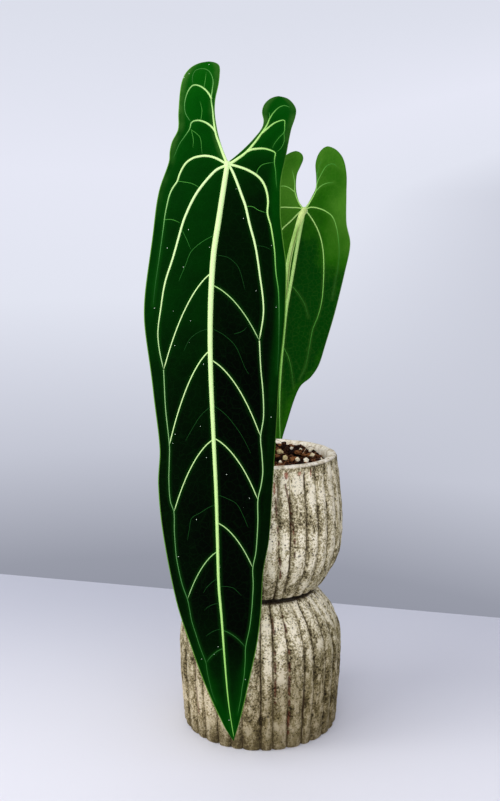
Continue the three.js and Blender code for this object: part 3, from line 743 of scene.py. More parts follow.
frontLeaf = {
    "tip": 24.2,
    "junction": 453.2,
    "midrib": [
        (24.2, -21), (57, -24), (87, -27), (124, -30), (149, -31), (210, -33), (257, -35),
        (326, -37), (385, -35), (413, -31), (440, -27), (453.2, -25),
    ],
    "depth": [
        (0, -92), (24.2, -93), (100, -96), (180, -95), (260, -91), (330, -84), (380, -75),
        (420, -64), (453.2, -54), (500, -42), (530, -36),
    ],
    "leftEdge": [
        (24.2, -21), (36, -28), (69, -42), (104, -54), (134, -63), (174, -71), (220, -75.7),
        (248, -74.4), (289, -79), (336, -85), (361, -84.7), (401, -79.5), (433, -75.5), (455, -68.5),
        (462, -68), (469, -66.3), (478, -61.8), (490, -61.6), (509, -60.2), (518, -57.6), (523.5, -53),
        (526.6, -47), (527.6, -40.5),
    ],
    "rightEdge": [
        (24.2, -21), (46, -15), (69, -10), (101, -3.5), (126, -0.6), (156, 1.1), (179, 5.1),
        (216, 7.6), (254, 10), (301, 13), (336, 16.4), (357, 17.4), (381, 17.5), (397, 15.4),
        (413, 13.7), (426, 13.6), (441, 14.2), (459, 17.9), (479, 22), (488, 25), (494.5, 26.3),
        (499.4, 25), (504.7, 20.4), (506.5, 14),
    ],
    "leftSinus": [
        (453.2, -25), (464, -29), (474, -32), (483, -33.7), (492, -34.6), (501, -34), (510, -32),
        (518, -31), (524.4, -31.2), (527, -34.5), (527.6, -40.5),
    ],
    "rightSinus": [
        (453.2, -25), (458, -19), (465, -11.6), (472.5, -5), (480, 0.2), (486, 1.4), (493, 0.3),
        (499, 2), (503.5, 5.8), (506, 10.4), (506.5, 14),
    ],
    "curl": 0.0035,  # across the blade, by the square of the distance from the midrib
    "wave": (1.8, 72, 45),  # height, length and reach
    "lean": (18, 50),  # the right lobe's, and its reach
    "pucker": 0.7,  # how far the blade swells between veins, towards the camera
    "columns": 41,
    "petiole": [
        (-7, -4, 206), (-9, -5, 240), (-15, -8, 300), (-22, -13, 370), (-27, -22, 420), (-28, -34, 444),
        (-26.5, -45, 450.6), (-25, -53.2, 451),
    ],
    "petioleRadius": (2.6, 3.3),  # along it, and at its knee
    "grooveTurn": 180,  # degrees, where the petiole's channel lies
}

backLeaf = {
    "tip": 208,
    "junction": 424,
    "midrib": [(208, 19), (256, 18), (300, 20), (340, 23), (392, 31), (424, 36)],
    "depth": [
        (208, 73.5), (222, 74), (250, 73), (300, 68), (350, 58), (400, 42), (424, 30), (450, 24),
        (480, 20),
    ],
    "leftEdge": [
        (208, 19), (222, 13.5), (240, 9.5), (265, 6), (280, 2), (300, -4), (330, -12), (365, -16),
        (400, -14), (430, -5), (448, 4), (459, 12), (467, 20), (470.5, 28),
    ],
    "rightEdge": [
        (208, 19), (222, 19.8), (241, 25), (264, 32), (274, 37), (281, 45), (292, 52), (309, 57),
        (345, 66), (374, 72), (397, 75), (414, 71), (437, 70), (452, 69.5), (464, 66.5), (471, 61),
        (474, 54),
    ],
    "leftSinus": [
        (424, 36), (431, 31.5), (441, 29), (452, 29.5), (459, 32.5), (464.5, 34.5), (468.5, 33),
        (470.5, 28),
    ],
    "rightSinus": [
        (424, 36), (435, 42), (442, 45), (451, 45), (460, 44.3), (467, 46), (472, 49.5), (474, 54),
    ],
    "curl": -0.003,
    "wave": (1.4, 70, 42),
    "lean": (0, 50),
    "pucker": -0.6,
    "columns": 34,
    "petiole": [
        (2, 3, 206), (6, 4, 260), (14, 6, 320), (19.5, 8, 354), (23, 10, 384), (28, 12.5, 404),
        (33, 19, 419), (36, 29.2, 424),
    ],
    "petioleRadius": (2.0, 2.5),
    "grooveTurn": 35,
}

blade = {
    "half": 0.3,  # half the thickness
    "rowStep": 1.25,
    "crowding": 0.06,  # how close the rows come at a lobe's round top
    "margin": 0.9,  # width of the pale line, a painted edge highlight
    "veinStep": 1.5,
    "veinReach": 5,  # how far the blade is held down beside a vein
    "faintReach": 2.6,  # and beside a faint one
    "unevenness": (0.25, 14),  # of the swelling, and its size
    "lateralBend": (0.55, 0.2),  # where a lateral bends, as shares of its reach across and down
    "lateralHalf": (0.2, 0.21),  # half width of a dim lateral, and what a pale one adds
    "petioleSides": 28,
    "channel": (0.44, 0.2),  # half width of the petiole's channel in radians, and its depth as a share
    "knee": (0.88, 0.95),  # where the knee begins and is full, as shares of the petiole
    "flare": (0.5, 0.12),  # how much wider the petiole's foot is, and the share where that ends
}

# Veins of the front leaf: a path of [x, z] places from root to end, half widths, how pale, and how
# fresh a green
frontVeins = {
    "midrib": (
        [(-25, 453), (-27, 440), (-31, 413), (-35, 385), (-37, 347), (-37, 309), (-35, 257.8),
         (-34.1, 237.6), (-33.2, 217), (-32.4, 184), (-31.5, 147), (-29.5, 121.8), (-27.7, 94),
         (-25.5, 64), (-23.9, 48.6), (-20.8, 27)],
        (1.9, 2.15, 2.05, 1.8, 1.55, 1.35, 1.15, 0.92, 0.6, 0.25),
        (1, 1, 1, 0.97, 0.93, 0.86, 0.8, 0.74, 0.66, 0.5),
        (0.3, 0.35, 0.4, 0.45, 0.55, 0.65, 0.75, 0.85, 1, 1)),
    "leftBasal": (
        [(-26, 451), (-33, 447.7), (-37.8, 443), (-42.5, 437.5), (-47.2, 431), (-51.1, 424),
         (-54.6, 416.2), (-57.3, 409), (-64, 385), (-70, 366), (-73, 347), (-75, 331), (-74, 318),
         (-71, 304)],
        (1.0, 0.95, 0.8, 0.64, 0.46, 0.34), (1, 0.97, 0.95, 0.88, 0.76, 0.6), (0.1, 0.1, 0.1, 0)),
    "rightBasal": (
        [(-24.4, 451), (-22.8, 449), (-20.4, 444), (-18.1, 438.2), (-14.9, 429.5), (-12.1, 421.7),
         (-10.6, 415.4), (-9, 408.3), (-5, 393), (-2, 374), (1, 347), (-2, 325)],
        (1.0, 0.95, 0.84, 0.7, 0.56, 0.46), (1, 0.98, 0.95, 0.92, 0.88, 0.82), (0.2, 0.1, 0.1, 0.2)),
    "leftOuter": (
        [(-26, 452), (-34, 456.4), (-41, 458), (-47.5, 457.4), (-51.5, 456), (-55.6, 453), (-58.3, 449),
         (-60.5, 444.2), (-61.8, 439.8), (-65.4, 434.3), (-67.6, 429), (-69, 422.7), (-70.4, 415),
         (-72, 402), (-74.5, 384), (-77, 366), (-78.6, 350)],
        (0.95, 0.85, 0.64, 0.46, 0.32, 0.27, 0.2), (0.95, 0.9, 0.76, 0.5, 0.3, 0.16, 0.02),
        (0.3, 0.3, 0.4, 0.3)),
    "rightOuter": (
        [(-23.6, 451.6), (-17.3, 450), (-11, 447.8), (-4.6, 444.3), (-0.7, 440.8), (2.1, 436),
         (3.9, 429.7), (4.4, 424), (3.9, 417), (4.8, 412.4), (6.4, 407), (9, 390), (10, 374), (12, 358),
         (12, 322), (11, 301)],
        (1.0, 0.88, 0.64, 0.48, 0.37, 0.26, 0.18), (0.98, 0.92, 0.8, 0.56, 0.32, 0.16, 0.02),
        (0.4, 0.6, 0.9, 0.8, 0.4, 0.3)),
    "leftLobe": (
        [(-25.4, 452), (-28.8, 460.5), (-30.8, 466), (-33, 471.7), (-34.2, 476.5), (-35.4, 484.5),
         (-36.2, 492.5), (-37.2, 499.8), (-36.5, 506.2), (-35.8, 512.6), (-37.2, 518.2), (-40.2, 521.7),
         (-44.6, 522.6), (-48.7, 521.6), (-50.7, 518.7), (-51.3, 515), (-50.7, 511)],
        (1.2, 1.0, 0.8, 0.62, 0.45, 0.34, 0.26, 0.22), (0.95, 0.85, 0.78, 0.7, 0.5, 0.36, 0.26, 0.2),
        (0.4, 0.6, 0.6, 0.5)),
    "rightLobe": (
        [(-24, 451.6), (-16.5, 456.6), (-11, 461.2), (-5.4, 467.9), (-0.6, 474.8), (3.9, 482), (6, 487.3),
         (9.3, 492.7), (13.5, 497), (17.7, 498.6), (22.2, 496.8)],
        (1.2, 0.95, 0.8, 0.62, 0.42, 0.28), (0.95, 0.85, 0.8, 0.66, 0.44, 0.28), (0.5, 0.8, 0.9, 0.8)),
    "leftLobeLower": (
        [(-33.6, 475), (-36.4, 478.9), (-40.4, 482.1), (-45.2, 484), (-49.3, 484), (-51.8, 482.5),
         (-52.9, 478.3), (-56.5, 472.9), (-60.5, 467.4), (-63.3, 461.2), (-65.5, 456)],
        (0.8, 0.75, 0.55, 0.36, 0.26, 0.2), (0.85, 0.75, 0.55, 0.36, 0.24, 0.14), (0.4, 0.5, 0.5)),
    "leftLobeUpper": (
        [(-37, 500), (-38.9, 503.8), (-42.2, 507.5), (-46.2, 510), (-50.3, 510.6), (-53.1, 508.3),
         (-55.5, 503.5), (-56.9, 497), (-56.4, 490.5), (-54.1, 486), (-51.8, 483)],
        (0.75, 0.65, 0.45, 0.3, 0.26), (0.75, 0.66, 0.5, 0.34, 0.32), (0.5, 0.5, 0.4)),
    "rightLobeUpper": (
        [(0, 475.6), (4.3, 479.4), (8.4, 483), (12.5, 485.3), (17, 486.3), (17.2, 482.4), (16.6, 476.8),
         (13.1, 472.9), (9.4, 467.8), (7.4, 463.6)],
        (0.75, 0.62, 0.4, 0.28, 0.24), (0.8, 0.66, 0.5, 0.26, 0.2), (0.8, 0.9, 0.8)),
    "rightLobeLower": (
        [(-11, 461.3), (-7.4, 462.8), (-3, 463.5), (1, 463.7), (5, 463), (9.8, 460.8), (9.4, 457.1),
         (9.2, 453.1), (10.1, 446.7), (10.3, 441), (11, 434)],
        (0.95, 0.8, 0.6, 0.34, 0.26, 0.2), (0.88, 0.8, 0.66, 0.4, 0.26, 0.16), (0.6, 0.9, 0.8)),
    "leftCollector": (
        [(-71, 304), (-69.6, 277), (-67, 250), (-67.2, 238), (-67.6, 224), (-66.6, 209), (-64, 201),
         (-63.8, 187), (-63.2, 175), (-62.5, 166.4), (-60.5, 155.6), (-58.1, 145.8), (-54.6, 136),
         (-53.2, 129), (-51.6, 119.6), (-48.8, 110), (-46, 100.5), (-43.6, 93.6), (-41.3, 87),
         (-40.4, 79.7), (-38.8, 71.7), (-37.2, 64.6), (-34, 55)],
        (0.34, 0.34, 0.33, 0.31, 0.28, 0.24, 0.2), (0.56, 0.52, 0.46, 0.4, 0.32, 0.22, 0.12),
        (0.1, 0.1, 0.2, 0.4)),
    "rightCollector": (
        [(-2, 325), (-1, 305), (0.6, 288), (1, 270), (-1.1, 255.6), (-0.1, 242.3), (0.5, 230),
         (-0.7, 220.4), (-3, 210), (-3, 195.3), (-3.6, 181.9), (-4.6, 170), (-6.7, 159.3), (-6.4, 147),
         (-6.9, 136), (-7.6, 126.4), (-9, 114.4), (-12, 99), (-12.3, 88.4), (-13.3, 75.3), (-14.7, 66.5),
         (-15.5, 59.4), (-18, 46)],
        (0.46, 0.42, 0.4, 0.37, 0.32, 0.27, 0.2), (0.8, 0.7, 0.64, 0.54, 0.44, 0.32, 0.16),
        (0.1, 0.15, 0.3, 0.6)),
}
# Laterals leave the midrib at a height and bend down to a join: (start height, join, how pale)
frontLaterals = [
    (374, (-71, 304), 0.95), (319, (-67, 250), 0.92), (255, (-64, 201), 0.82),
    (173, (-54.6, 136), 0.62), (99, (-41.3, 87), 0.2), (365, (-2, 325), 0.7), (312, (-1, 256), 0.88),
    (256, (-3, 210), 0.84), (194, (-6.7, 159.3), 0.72), (113, (-12, 99), 0.22),
]
# Small veins that hardly show
frontFaintVeins = [
    [(-61.4, 439.8), (-56.2, 438.9), (-50.5, 437.6), (-43, 433)],
    [(-70.5, 411.6), (-65.3, 411.6), (-58, 408.6)],
    [(-12.1, 420.9), (-7, 420.9), (-2.3, 418.2), (5, 416)],
    [(-4, 445), (-2.6, 448.8), (0.9, 452), (10.5, 454)], [(-42.6, 508.7), (-41.6, 514.3), (-40.8, 521)],
    [(-52, 477.5), (-48.4, 475), (-45.2, 471.4), (-44.2, 464.6), (-43.5, 458.2)],
    [(-51.6, 476.7), (-50.2, 469.5), (-50.8, 463.2)], [(-45, 483), (-44, 492), (-46, 500)],
    [(16.6, 476.8), (16.5, 469.7), (13.9, 464.2), (10, 461)], [(6, 488.2), (5.9, 490.8), (5.3, 493.5)],
    [(-5, 393), (2, 392), (8, 389)], [(-20, 330), (-14, 332), (-10, 336)],
    [(-35, 400), (-43, 395.5), (-51, 388.5), (-55, 379), (-60.5, 366)],
    [(-58, 404.5), (-54.3, 397), (-51, 389)], [(-32, 386), (-24, 384), (-17, 377), (-12, 360)],
    [(-38, 334), (-46, 331), (-52, 326), (-57, 316)],
    [(-36, 334), (-27, 329), (-19, 321), (-12, 305), (-8, 299)],
    [(-36, 279), (-43, 273), (-48, 266), (-56, 252)],
    [(-35, 279), (-29, 275), (-23, 269), (-14, 256), (-7.2, 242)],
    [(-34.3, 207), (-39.6, 204.5), (-44.5, 201.2), (-51, 196.9), (-52.9, 188), (-54.6, 178.8)],
    [(-31.9, 214.4), (-25, 211.5), (-18.6, 207.7), (-14.5, 200.6), (-9.3, 188)],
    [(-32.1, 152.6), (-35.8, 150), (-40.7, 145), (-43.6, 139.8)],
    [(-30, 146.3), (-24.4, 146), (-20.3, 144.5), (-13.8, 137.6)],
    [(-30.6, 133.3), (-35.1, 132.8), (-40, 130.2), (-43.3, 126.7)],
    [(-30, 114), (-35.2, 112.3), (-39.3, 109.6), (-42.6, 107)],
]

# Veins of the back leaf, drawn the same way
backMidrib = (
    [(36, 426), (33.1, 408), (30.6, 392), (26.6, 365), (23.1, 342), (20.8, 315), (18.4, 279), (17.8, 253),
     (18.8, 214)],
    (1.6, 1.55, 1.4, 1.2, 0.95, 0.75, 0.55, 0.3), (0.8, 0.86, 0.84, 0.74, 0.68, 0.6, 0.5, 0.4),
    (1, 1, 1)
)
backVeins = {
    "outer": (
        [(37, 424.5), (40.2, 426.4), (46.5, 426), (53.7, 423.3), (59.3, 419), (62.8, 411.4),
         (65.3, 400.6), (66.4, 388), (65.7, 375.3), (63.9, 364), (62, 350)],
        (0.5, 0.42, 0.34, 0.27, 0.22, 0.18), (0.85, 0.68, 0.46, 0.2, 0.06, 0), (1,)),
    "basal": (
        [(37, 423.5), (38.8, 422.2), (45.5, 413), (49.9, 403.8), (52.7, 393), (53.9, 381.7),
         (54.2, 365.6), (53.3, 349.2), (50.4, 336), (46.1, 324), (43.6, 308.7), (40.5, 291.5),
         (35.1, 278.6)],
        (0.52, 0.46, 0.4, 0.34, 0.28, 0.2), (0.85, 0.76, 0.64, 0.42, 0.2, 0.04), (1,)),
    "lobe": (
        [(37, 425.5), (40.9, 431.3), (45.1, 439.5), (46, 445.5), (49, 452.2), (53.4, 458.9),
         (58.7, 460.3), (62.6, 457.3)],
        (0.7, 0.5, 0.36, 0.26, 0.2), (0.85, 0.7, 0.52, 0.38, 0.2), (1,)),
    "upperLateral": (
        [(26.3, 362), (28.5, 360.6), (34.4, 353.2), (39, 345), (42.2, 334)],
        (0.28, 0.22, 0.16), (0.28, 0.18, 0.04), (1,)),
    "lowerLateral": (
        [(20, 309), (21.4, 307), (25.3, 299.2), (27.9, 289), (30.3, 270.7)],
        (0.32, 0.24, 0.18), (0.34, 0.24, 0.08), (1,)),
    "lobeLower": (
        [(45.1, 439.1), (49.2, 443.3), (54.5, 445.5), (59.9, 445.9)],
        (0.36, 0.28, 0.2), (0.6, 0.5, 0.3), (1,)),
    "lobeUpper": (
        [(46, 446), (46.6, 456), (49.4, 464)],
        (0.3, 0.24, 0.18), (0.4, 0.3, 0.14), (1,)),
    "leftOuter": (
        [(35, 424.8), (31.9, 426), (25.3, 426.3), (17.1, 426.4), (8, 424.5), (-1, 417), (-6, 404),
         (-8.5, 385), (-8, 366)],
        (0.5, 0.42, 0.34, 0.27, 0.2), (0.85, 0.75, 0.6, 0.4, 0.2), (1,)),
    "leftBasal": (
        [(35, 424), (32.5, 422.9), (25.6, 416.1), (17.8, 408.8), (9, 396), (2, 378), (-2, 355), (0, 330),
         (6, 300)],
        (0.6, 0.5, 0.4, 0.32, 0.2), (0.88, 0.8, 0.6, 0.44, 0.2), (1,)),
    "leftLobe": (
        [(35, 425.5), (34, 426.4), (30.7, 431.3), (28.6, 436.5), (27.8, 440), (27.8, 445.5),
         (26.4, 452.3), (25.1, 456.7)],
        (0.7, 0.5, 0.4, 0.3, 0.22), (0.85, 0.75, 0.66, 0.56, 0.4), (1,)),
    "leftLobeLower": (
        [(27.9, 438.5), (22.7, 442.1), (17.2, 443.2), (10, 441)],
        (0.4, 0.32, 0.24), (0.7, 0.6, 0.4), (1,)),
}


def leafDepth(leaf, x, z):  # the leaf's y at [x, z]
    fromMidrib = x - along(leaf["midrib"], z)
    height, length, reach = leaf["wave"]
    lean, leanReach = leaf["lean"]
    wave = height * np.minimum(np.abs(fromMidrib) / reach, 1.2) ** 2 * np.sin(2 * math.pi * z / length)
    leaning = (fromMidrib > 0) * lean * np.clip((z - leaf["junction"]) / leanReach, 0, 1.2) ** 1.5
    return along(leaf["depth"], z) + leaf["curl"] * fromMidrib**2 + leaning + wave


def onLeaf(leaf, x, z, lift):  # point of the leaf, lifted off it towards the camera
    near = 0.5
    slopeX = leafDepth(leaf, x + near, z) - leafDepth(leaf, x - near, z)
    slopeZ = leafDepth(leaf, x, z + near) - leafDepth(leaf, x, z - near)
    long = np.sqrt(slopeX**2 + slopeZ**2 + 1)
    y = leafDepth(leaf, x, z) - lift / long
    return np.stack([x + lift * slopeX / long, y, z + lift * slopeZ / long], -1)


def awayFrom(places, line):  # distance of each [x, z] place from a line
    start, step = line[:-1], np.diff(line, axis=0)
    share = np.clip(((places[:, None] - start) * step).sum(2) / (step**2).sum(1), 0, 1)
    return np.linalg.norm(places[:, None] - start - share[..., None] * step, axis=2).min(1)


def halfBlade(leaf, side):  # grid of [x, z] places from the tip up to the lobe's round top
    edge = [(x, z) for z, x in leaf[side + "Edge"]]
    sinus = [(x, z) for z, x in leaf[side + "Sinus"]]
    line = smoothLine(edge + sinus[-2::-1], 0.25)
    peak = int(line[:, 1].argmax())
    outer, inner = line[:peak + 1], line[peak:][::-1]
    top, junction = line[peak, 1], leaf["junction"]
    crowd = round(blade["rowStep"] / (2 * blade["crowding"]))
    close = top - blade["crowding"] * np.arange(crowd + 1)[::-1] ** 2
    low, lobe = [
        np.linspace(foot, head, round((head - foot) / blade["rowStep"]), endpoint=False)
        for foot, head in ((leaf["tip"], junction), (junction, close[0]))
    ]
    z = np.concatenate([low, lobe, close])
    outerX, innerX = [
        np.interp(z, np.maximum.accumulate(half[:, 1]), half[:, 0]) for half in (outer, inner)
    ]
    innerX = np.where(z < junction, along(leaf["midrib"], z), innerX)
    width = np.abs(innerX - outerX)
    first = np.minimum(blade["margin"] / np.maximum(width, 1e-6), 0.1)
    even = np.linspace(0, 1, leaf["columns"])
    share = np.concatenate([np.zeros((len(z), 1)), first[:, None] + (1 - first[:, None]) * even], 1)
    x = outerX[:, None] + (innerX - outerX)[:, None] * share
    rim = np.zeros_like(x)
    rim[:, 0] = 1
    rim[z >= junction, -1] = 1
    fromRim = share * width[:, None]
    lobeRows = (z >= junction)[:, None]
    fromRim = np.where(lobeRows, np.minimum(fromRim, (1 - share) * width[:, None]), fromRim)
    grids = [x, np.repeat(z[:, None], x.shape[1], axis=1), rim, fromRim]
    return grids if side == "left" else [grid[:, ::-1] for grid in grids]


def bladeParts(leaf, veins, faintVeins, toneAt):
    parts = []
    for side in ("left", "right"):
        x, z, rim, fromRim = [grid.ravel() for grid in halfBlade(leaf, side)]
        places = np.stack([x, z], 1)
        gap = np.full(len(x), 99.0)
        for path, halves, *_ in veins:
            gap = np.minimum(gap, awayFrom(places, smoothLine(path, 3)) - np.mean(halves))
        gap = np.maximum(gap, 0)
        free = 1 - np.exp(-(gap / blade["veinReach"]) ** 2)
        for path, *_ in faintVeins:
            away = awayFrom(places, smoothLine(path, 3))
            free *= 1 - np.exp(-(away / blade["faintReach"]) ** 2)
        rise, size = blade["unevenness"]
        uneven = rise * lumps(np.stack([x, z, z * 0], 1), size)
        swell = (leaf["pucker"] + uneven) * free * smoothStep(fromRim, 0, 6)
        points = onLeaf(leaf, x, z, swell)
        fromMidrib = x - along(leaf["midrib"], z)
        if side == "left":
            seen, sheenHeights = 1, (400, 480)
        else:  # the margin's pale line, a painted edge highlight, comes and goes
            seen = along([(110, 1), (170, 0.5), (270, 0.6), (310, 1), (430, 1), (460, 0.5)], z)
            sheenHeights = (450, 485)
        # the rim mark paints the margin's edge highlight
        marks = {
            "glow": np.exp(-(gap / 1.3)), "rim": rim * seen, "tone": toneAt(fromMidrib, z, fromRim),
            # the olive mark is painted sheen along the lobes' margins
            "olive": (1 - smoothStep(fromRim, 1.5, 6)) * smoothStep(z, *sheenHeights),
        }
        columns = leaf["columns"] + 1
        faces = gridFaces(len(points) // columns, columns)
        parts.append({"points": points, "faces": faces, "marks": marks})
    return parts


def makeBlade(name, leaf, veins, faintVeins, toneAt, materials, standsFor):
    parts = bladeParts(leaf, veins, faintVeins, toneAt)
    piece = makePiece(name, parts, materials, standsFor, outward=False)
    solid = makeSolid(piece, 2 * blade["half"])
    solid.material_offset, solid.material_offset_rim = 1, 2
    return piece


def veinPart(leaf, vein, side, rise=0.8, sides=10):  # raised cord on one face; side 1 is the camera's
    path, halves, pales, freshes = vein
    line = smoothLine(path, blade["veinStep"])
    count = len(line)
    half = spread(halves, count)
    half *= np.minimum(1, (np.arange(count)[::-1] + 0.3) / 3)  # runs out to a point
    ahead = np.gradient(line, axis=0)
    ahead /= np.linalg.norm(ahead, axis=1, keepdims=True)
    turns = ringTurns(sides)
    across = np.outer(half, np.cos(turns))
    x = line[:, :1] - ahead[:, 1:] * across
    z = line[:, 1:] + ahead[:, :1] * across
    bulge = np.where(np.sin(turns) > 0, rise * np.outer(half, np.sin(turns)), 0.12 * np.sin(turns))
    points = onLeaf(leaf, x.ravel(), z.ravel(), side * (blade["half"] - 0.05 + bulge.ravel()))
    pale, fresh = [np.repeat(spread(values, count), sides) for values in (pales, freshes)]
    # the crown mark paints the cord lighter on top, as a highlight, and darker at its sides
    marks = {"pale": pale, "fresh": fresh, "crown": np.tile(np.maximum(np.sin(turns), 0), count)}
    return {"points": points, "faces": gridFaces(count, sides, closed=True, capped=True), "marks": marks}


def lateralVein(leaf, start, join, pale):  # leaves the midrib flat and bends down to its join
    foot = np.array([float(along(leaf["midrib"], start)), start])
    end = np.array(join)
    bend = foot + (end - foot) * blade["lateralBend"]
    share = np.linspace(0, 1, 7)[:, None]
    path = foot * (1 - share) ** 2 + 2 * bend * share * (1 - share) + end * share**2
    thin, more = blade["lateralHalf"]
    bold = thin + more * pale
    return path, (bold * 1.15, bold, bold * 0.95), (pale, pale, pale * 0.92), (0.4, 0.25, 0.15)


def faintVein(path):
    x, z = path[0]
    pale, fresh, half = 0, 0.3, 0.23  # grey, on the black part of the leaf
    if z > 405:
        pale, fresh, half = 0.3, 0.9, 0.28  # green, above it
    elif z > 380 and x < -33:
        pale, fresh, half = 0.16, 0.7, 0.28
    return path, (half, half, half * 0.7), (pale, pale, pale * 0.6), (fresh, fresh)


def mirrored(leaf, vein):
    path, *rest = vein
    return ([(2 * float(along(leaf["midrib"], z)) - x, z) for x, z in path], *rest)


def knotPart(centre, size, pale, seed):  # the boss where veins and petiole meet
    # the knot is painted all crown, as a highlight
    marks = {"pale": pale, "fresh": 0.2, "crown": 1.0}
    return lumpPart(centre, size, (0, 0, 0), 0.12, 0.1, seed, level=3, marks=marks)


def makeVeins(name, leaf, mainVeins, fineVeins, knot, material, standsFor):
    parts = [veinPart(leaf, vein, side) for vein in mainVeins for side in (1, -1)]
    parts += [veinPart(leaf, vein, 1, rise=0.9, sides=6) for vein in fineVeins]
    parts += [knotPart(*knot)]
    return makePiece(name, parts, [material], standsFor)


def makePetiole(name, leaf, material):
    line = smoothLine(leaf["petiole"], 1.2)
    sides = blade["petioleSides"]
    turns = np.linspace(-math.pi, math.pi, sides, endpoint=False)
    share = np.linspace(0, 1, len(line))[:, None]
    channelHalf, channelDepth = blade["channel"]
    kneeStart, kneeFull = blade["knee"]
    flare, flareEnd = blade["flare"]
    away = (turns + math.pi - math.radians(leaf["grooveTurn"]) + math.pi) % (2 * math.pi) - math.pi
    channel = np.exp(-(away / channelHalf) ** 2)[None, :]
    channel = channel * (1 - 0.7 * smoothStep(share, kneeStart, 0.96))
    swelling = smoothStep(share, kneeStart, kneeFull)
    thin, knee = leaf["petioleRadius"]
    radii = thin + (knee - thin) * swelling + flare * (1 - smoothStep(share, 0, flareEnd))
    radii = radii * (1 - channelDepth * channel)
    marks = {"channel": channel.ravel(), "swelling": np.repeat(swelling, sides, axis=1).ravel()}
    return makePiece(name, [tubePart(line, radii, marks)], [material])


# Velvety upper skin of the leaf, grown: a deep black-green that swallows light, greener at the lobes, with
# painted sheen by the margin and at the lobes' tips, a painted edge highlight on the margin, a soft sheen
# at a slant, a faint net of small veins and fine dust
def velvetSkin():
    marks = ("tone", "glow", "rim", "olive")
    material, add, place, tone, glow, rim, olive = startMaterial("velvetSkin", *marks)
    cloud = add("TexNoise", {"Vector": place, "Scale": perMetre(22), "Detail": 4, "Roughness": 0.6})
    nap = add("TexNoise", {"Vector": place, "Scale": perMetre(1.2), "Detail": 2})
    net = add("TexVoronoi", {"Vector": place, "Scale": perMetre(5)}, feature="DISTANCE_TO_EDGE")
    dust = add("TexVoronoi", {"Vector": place, "Scale": perMetre(8.5)})
    shifted = add("Math", [cloud, 0.22, tone], operation="MULTIPLY_ADD")
    colour = add("ValToRGB", [shifted], stops=[
        (0.12, "#000300"), (0.3, "#001200"), (0.5, "#002A01"), (0.72, "#004002"), (1, "#065004"),
    ])
    patchy = add("MapRange", [cloud, 0.35, 0.7, 0, 0.75])
    speck = add("Math", [dust, 0.034], operation="LESS_THAN")
    layers = [
        (add("MapRange", [net.outputs["Distance"], 0.06, 0, 0, 0.03], **soft), "#1C5A22"),
        # painted sheen by the lobes' margins
        (add("Math", [olive, patchy], operation="MULTIPLY"), "#3E6A28"),
        (add("MapRange", [glow, 0.15, 1, 0, 0.3]), "#12500E"),
        # painted edge highlight along the margin
        (add("MapRange", [rim, 0.1, 0.8, 0, 0.8]), "#6CA83C"),
        (add("Math", [speck, 0.9], operation="MULTIPLY"), "#D6E4D0"),
    ]
    for share, layer in layers:
        colour = add("MixRGB", [share, colour, layer])
    bump = add("Bump", {"Strength": 0.25, "Distance": 0.3 * mm, "Height": nap})
    sheen = {"Sheen Weight": 0.01, "Sheen Roughness": 0.5, "Sheen Tint": "#9CCB86"}
    return endMaterial(material, colour, bump, 0.02, 0.8, **sheen)


# Under skin of the leaf, grown: paler, a little waxy, with a small net showing through it and a painted
# edge highlight along the margin
def waxySkin(name, deep, middle, light, coat):
    material, add, place, tone, glow, rim = startMaterial(name, "tone", "glow", "rim")
    cloud = add("TexNoise", {"Vector": place, "Scale": perMetre(18), "Detail": 5, "Roughness": 0.62})
    net = add("TexVoronoi", {"Vector": place, "Scale": perMetre(4)}, feature="DISTANCE_TO_EDGE")
    netLine = net.outputs["Distance"]
    shifted = add("Math", [cloud, 0.5, tone], operation="MULTIPLY_ADD")
    colour = add("ValToRGB", [shifted], stops=[(0.3, deep), (0.6, middle), (1, light)])
    layers = [
        (add("MapRange", [netLine, 0.08, 0, 0, 0.05], **soft), "#6C9A3C"),
        (add("MapRange", [glow, 0.2, 1, 0, 0.1]), "#6FA040"),
        # painted edge highlight along the margin
        (add("MapRange", [rim, 0.35, 1, 0, 0.5]), "#93B070"),
    ]
    for share, layer in layers:
        colour = add("MixRGB", [share, colour, layer])
    bump = add("Bump", {"Strength": 0.3, "Distance": 0.3 * mm, "Height": netLine})
    wax = {"Coat Weight": coat, "Coat Roughness": 0.5}
    return endMaterial(material, colour, bump, 0.04, 0.6, **wax)


# Leaf margin, grown: a thin hard line of green, painted pale as an edge highlight
def marginHighlightSkin():
    material, add, place = startMaterial("marginHighlightSkin")
    cloud = add("TexNoise", {"Vector": place, "Scale": perMetre(12), "Detail": 3})
    colour = add("ValToRGB", [cloud], stops=[(0.3, "#3E8A1C"), (0.7, "#84C848")])
    return endMaterial(material, colour, None, 0.08, 0.6)


# Vein cords, grown: from a dim green through grey-green to pale yellow, smooth and faintly waxy, painted
# lighter on the crown as a highlight and darker at the sides as shade
def veinSkin(name):
    material, add, place, pale, fresh, crown = startMaterial(name, "pale", "fresh", "crown")
    long = add("Mapping", {"Vector": place, "Scale": (1, 1, 0.15)})
    streak = add("TexNoise", {"Vector": long, "Scale": perMetre(1.2), "Detail": 3})
    # painted highlight on the crown, painted shade at the sides
    tone = add("Math", [crown, 0.3, pale], operation="MULTIPLY_ADD")
    tone = add("Math", [streak, 0.12, tone], operation="MULTIPLY_ADD")
    shade = add("MapRange", [tone, 0.22, 1.34])
    steps = (0, 0.2, 0.42, 0.66, 0.84, 1)
    grey, green = [
        add("ValToRGB", [shade], stops=list(zip(steps, tones))) for tones in (
            ("#022406", "#0E4214", "#487E46", "#A6CC8A", "#CCE8A2", "#D4F0AE"),
            ("#0C4A10", "#226A1C", "#4C9A34", "#90CE60", "#BCE484", "#D0F29E"),
        )
    ]
    colour = add("MixRGB", [fresh, grey, green])
    bump = add("Bump", {"Strength": 0.25, "Distance": 0.2 * mm, "Height": streak})
    return endMaterial(material, colour, bump, 0.1, 0.5)


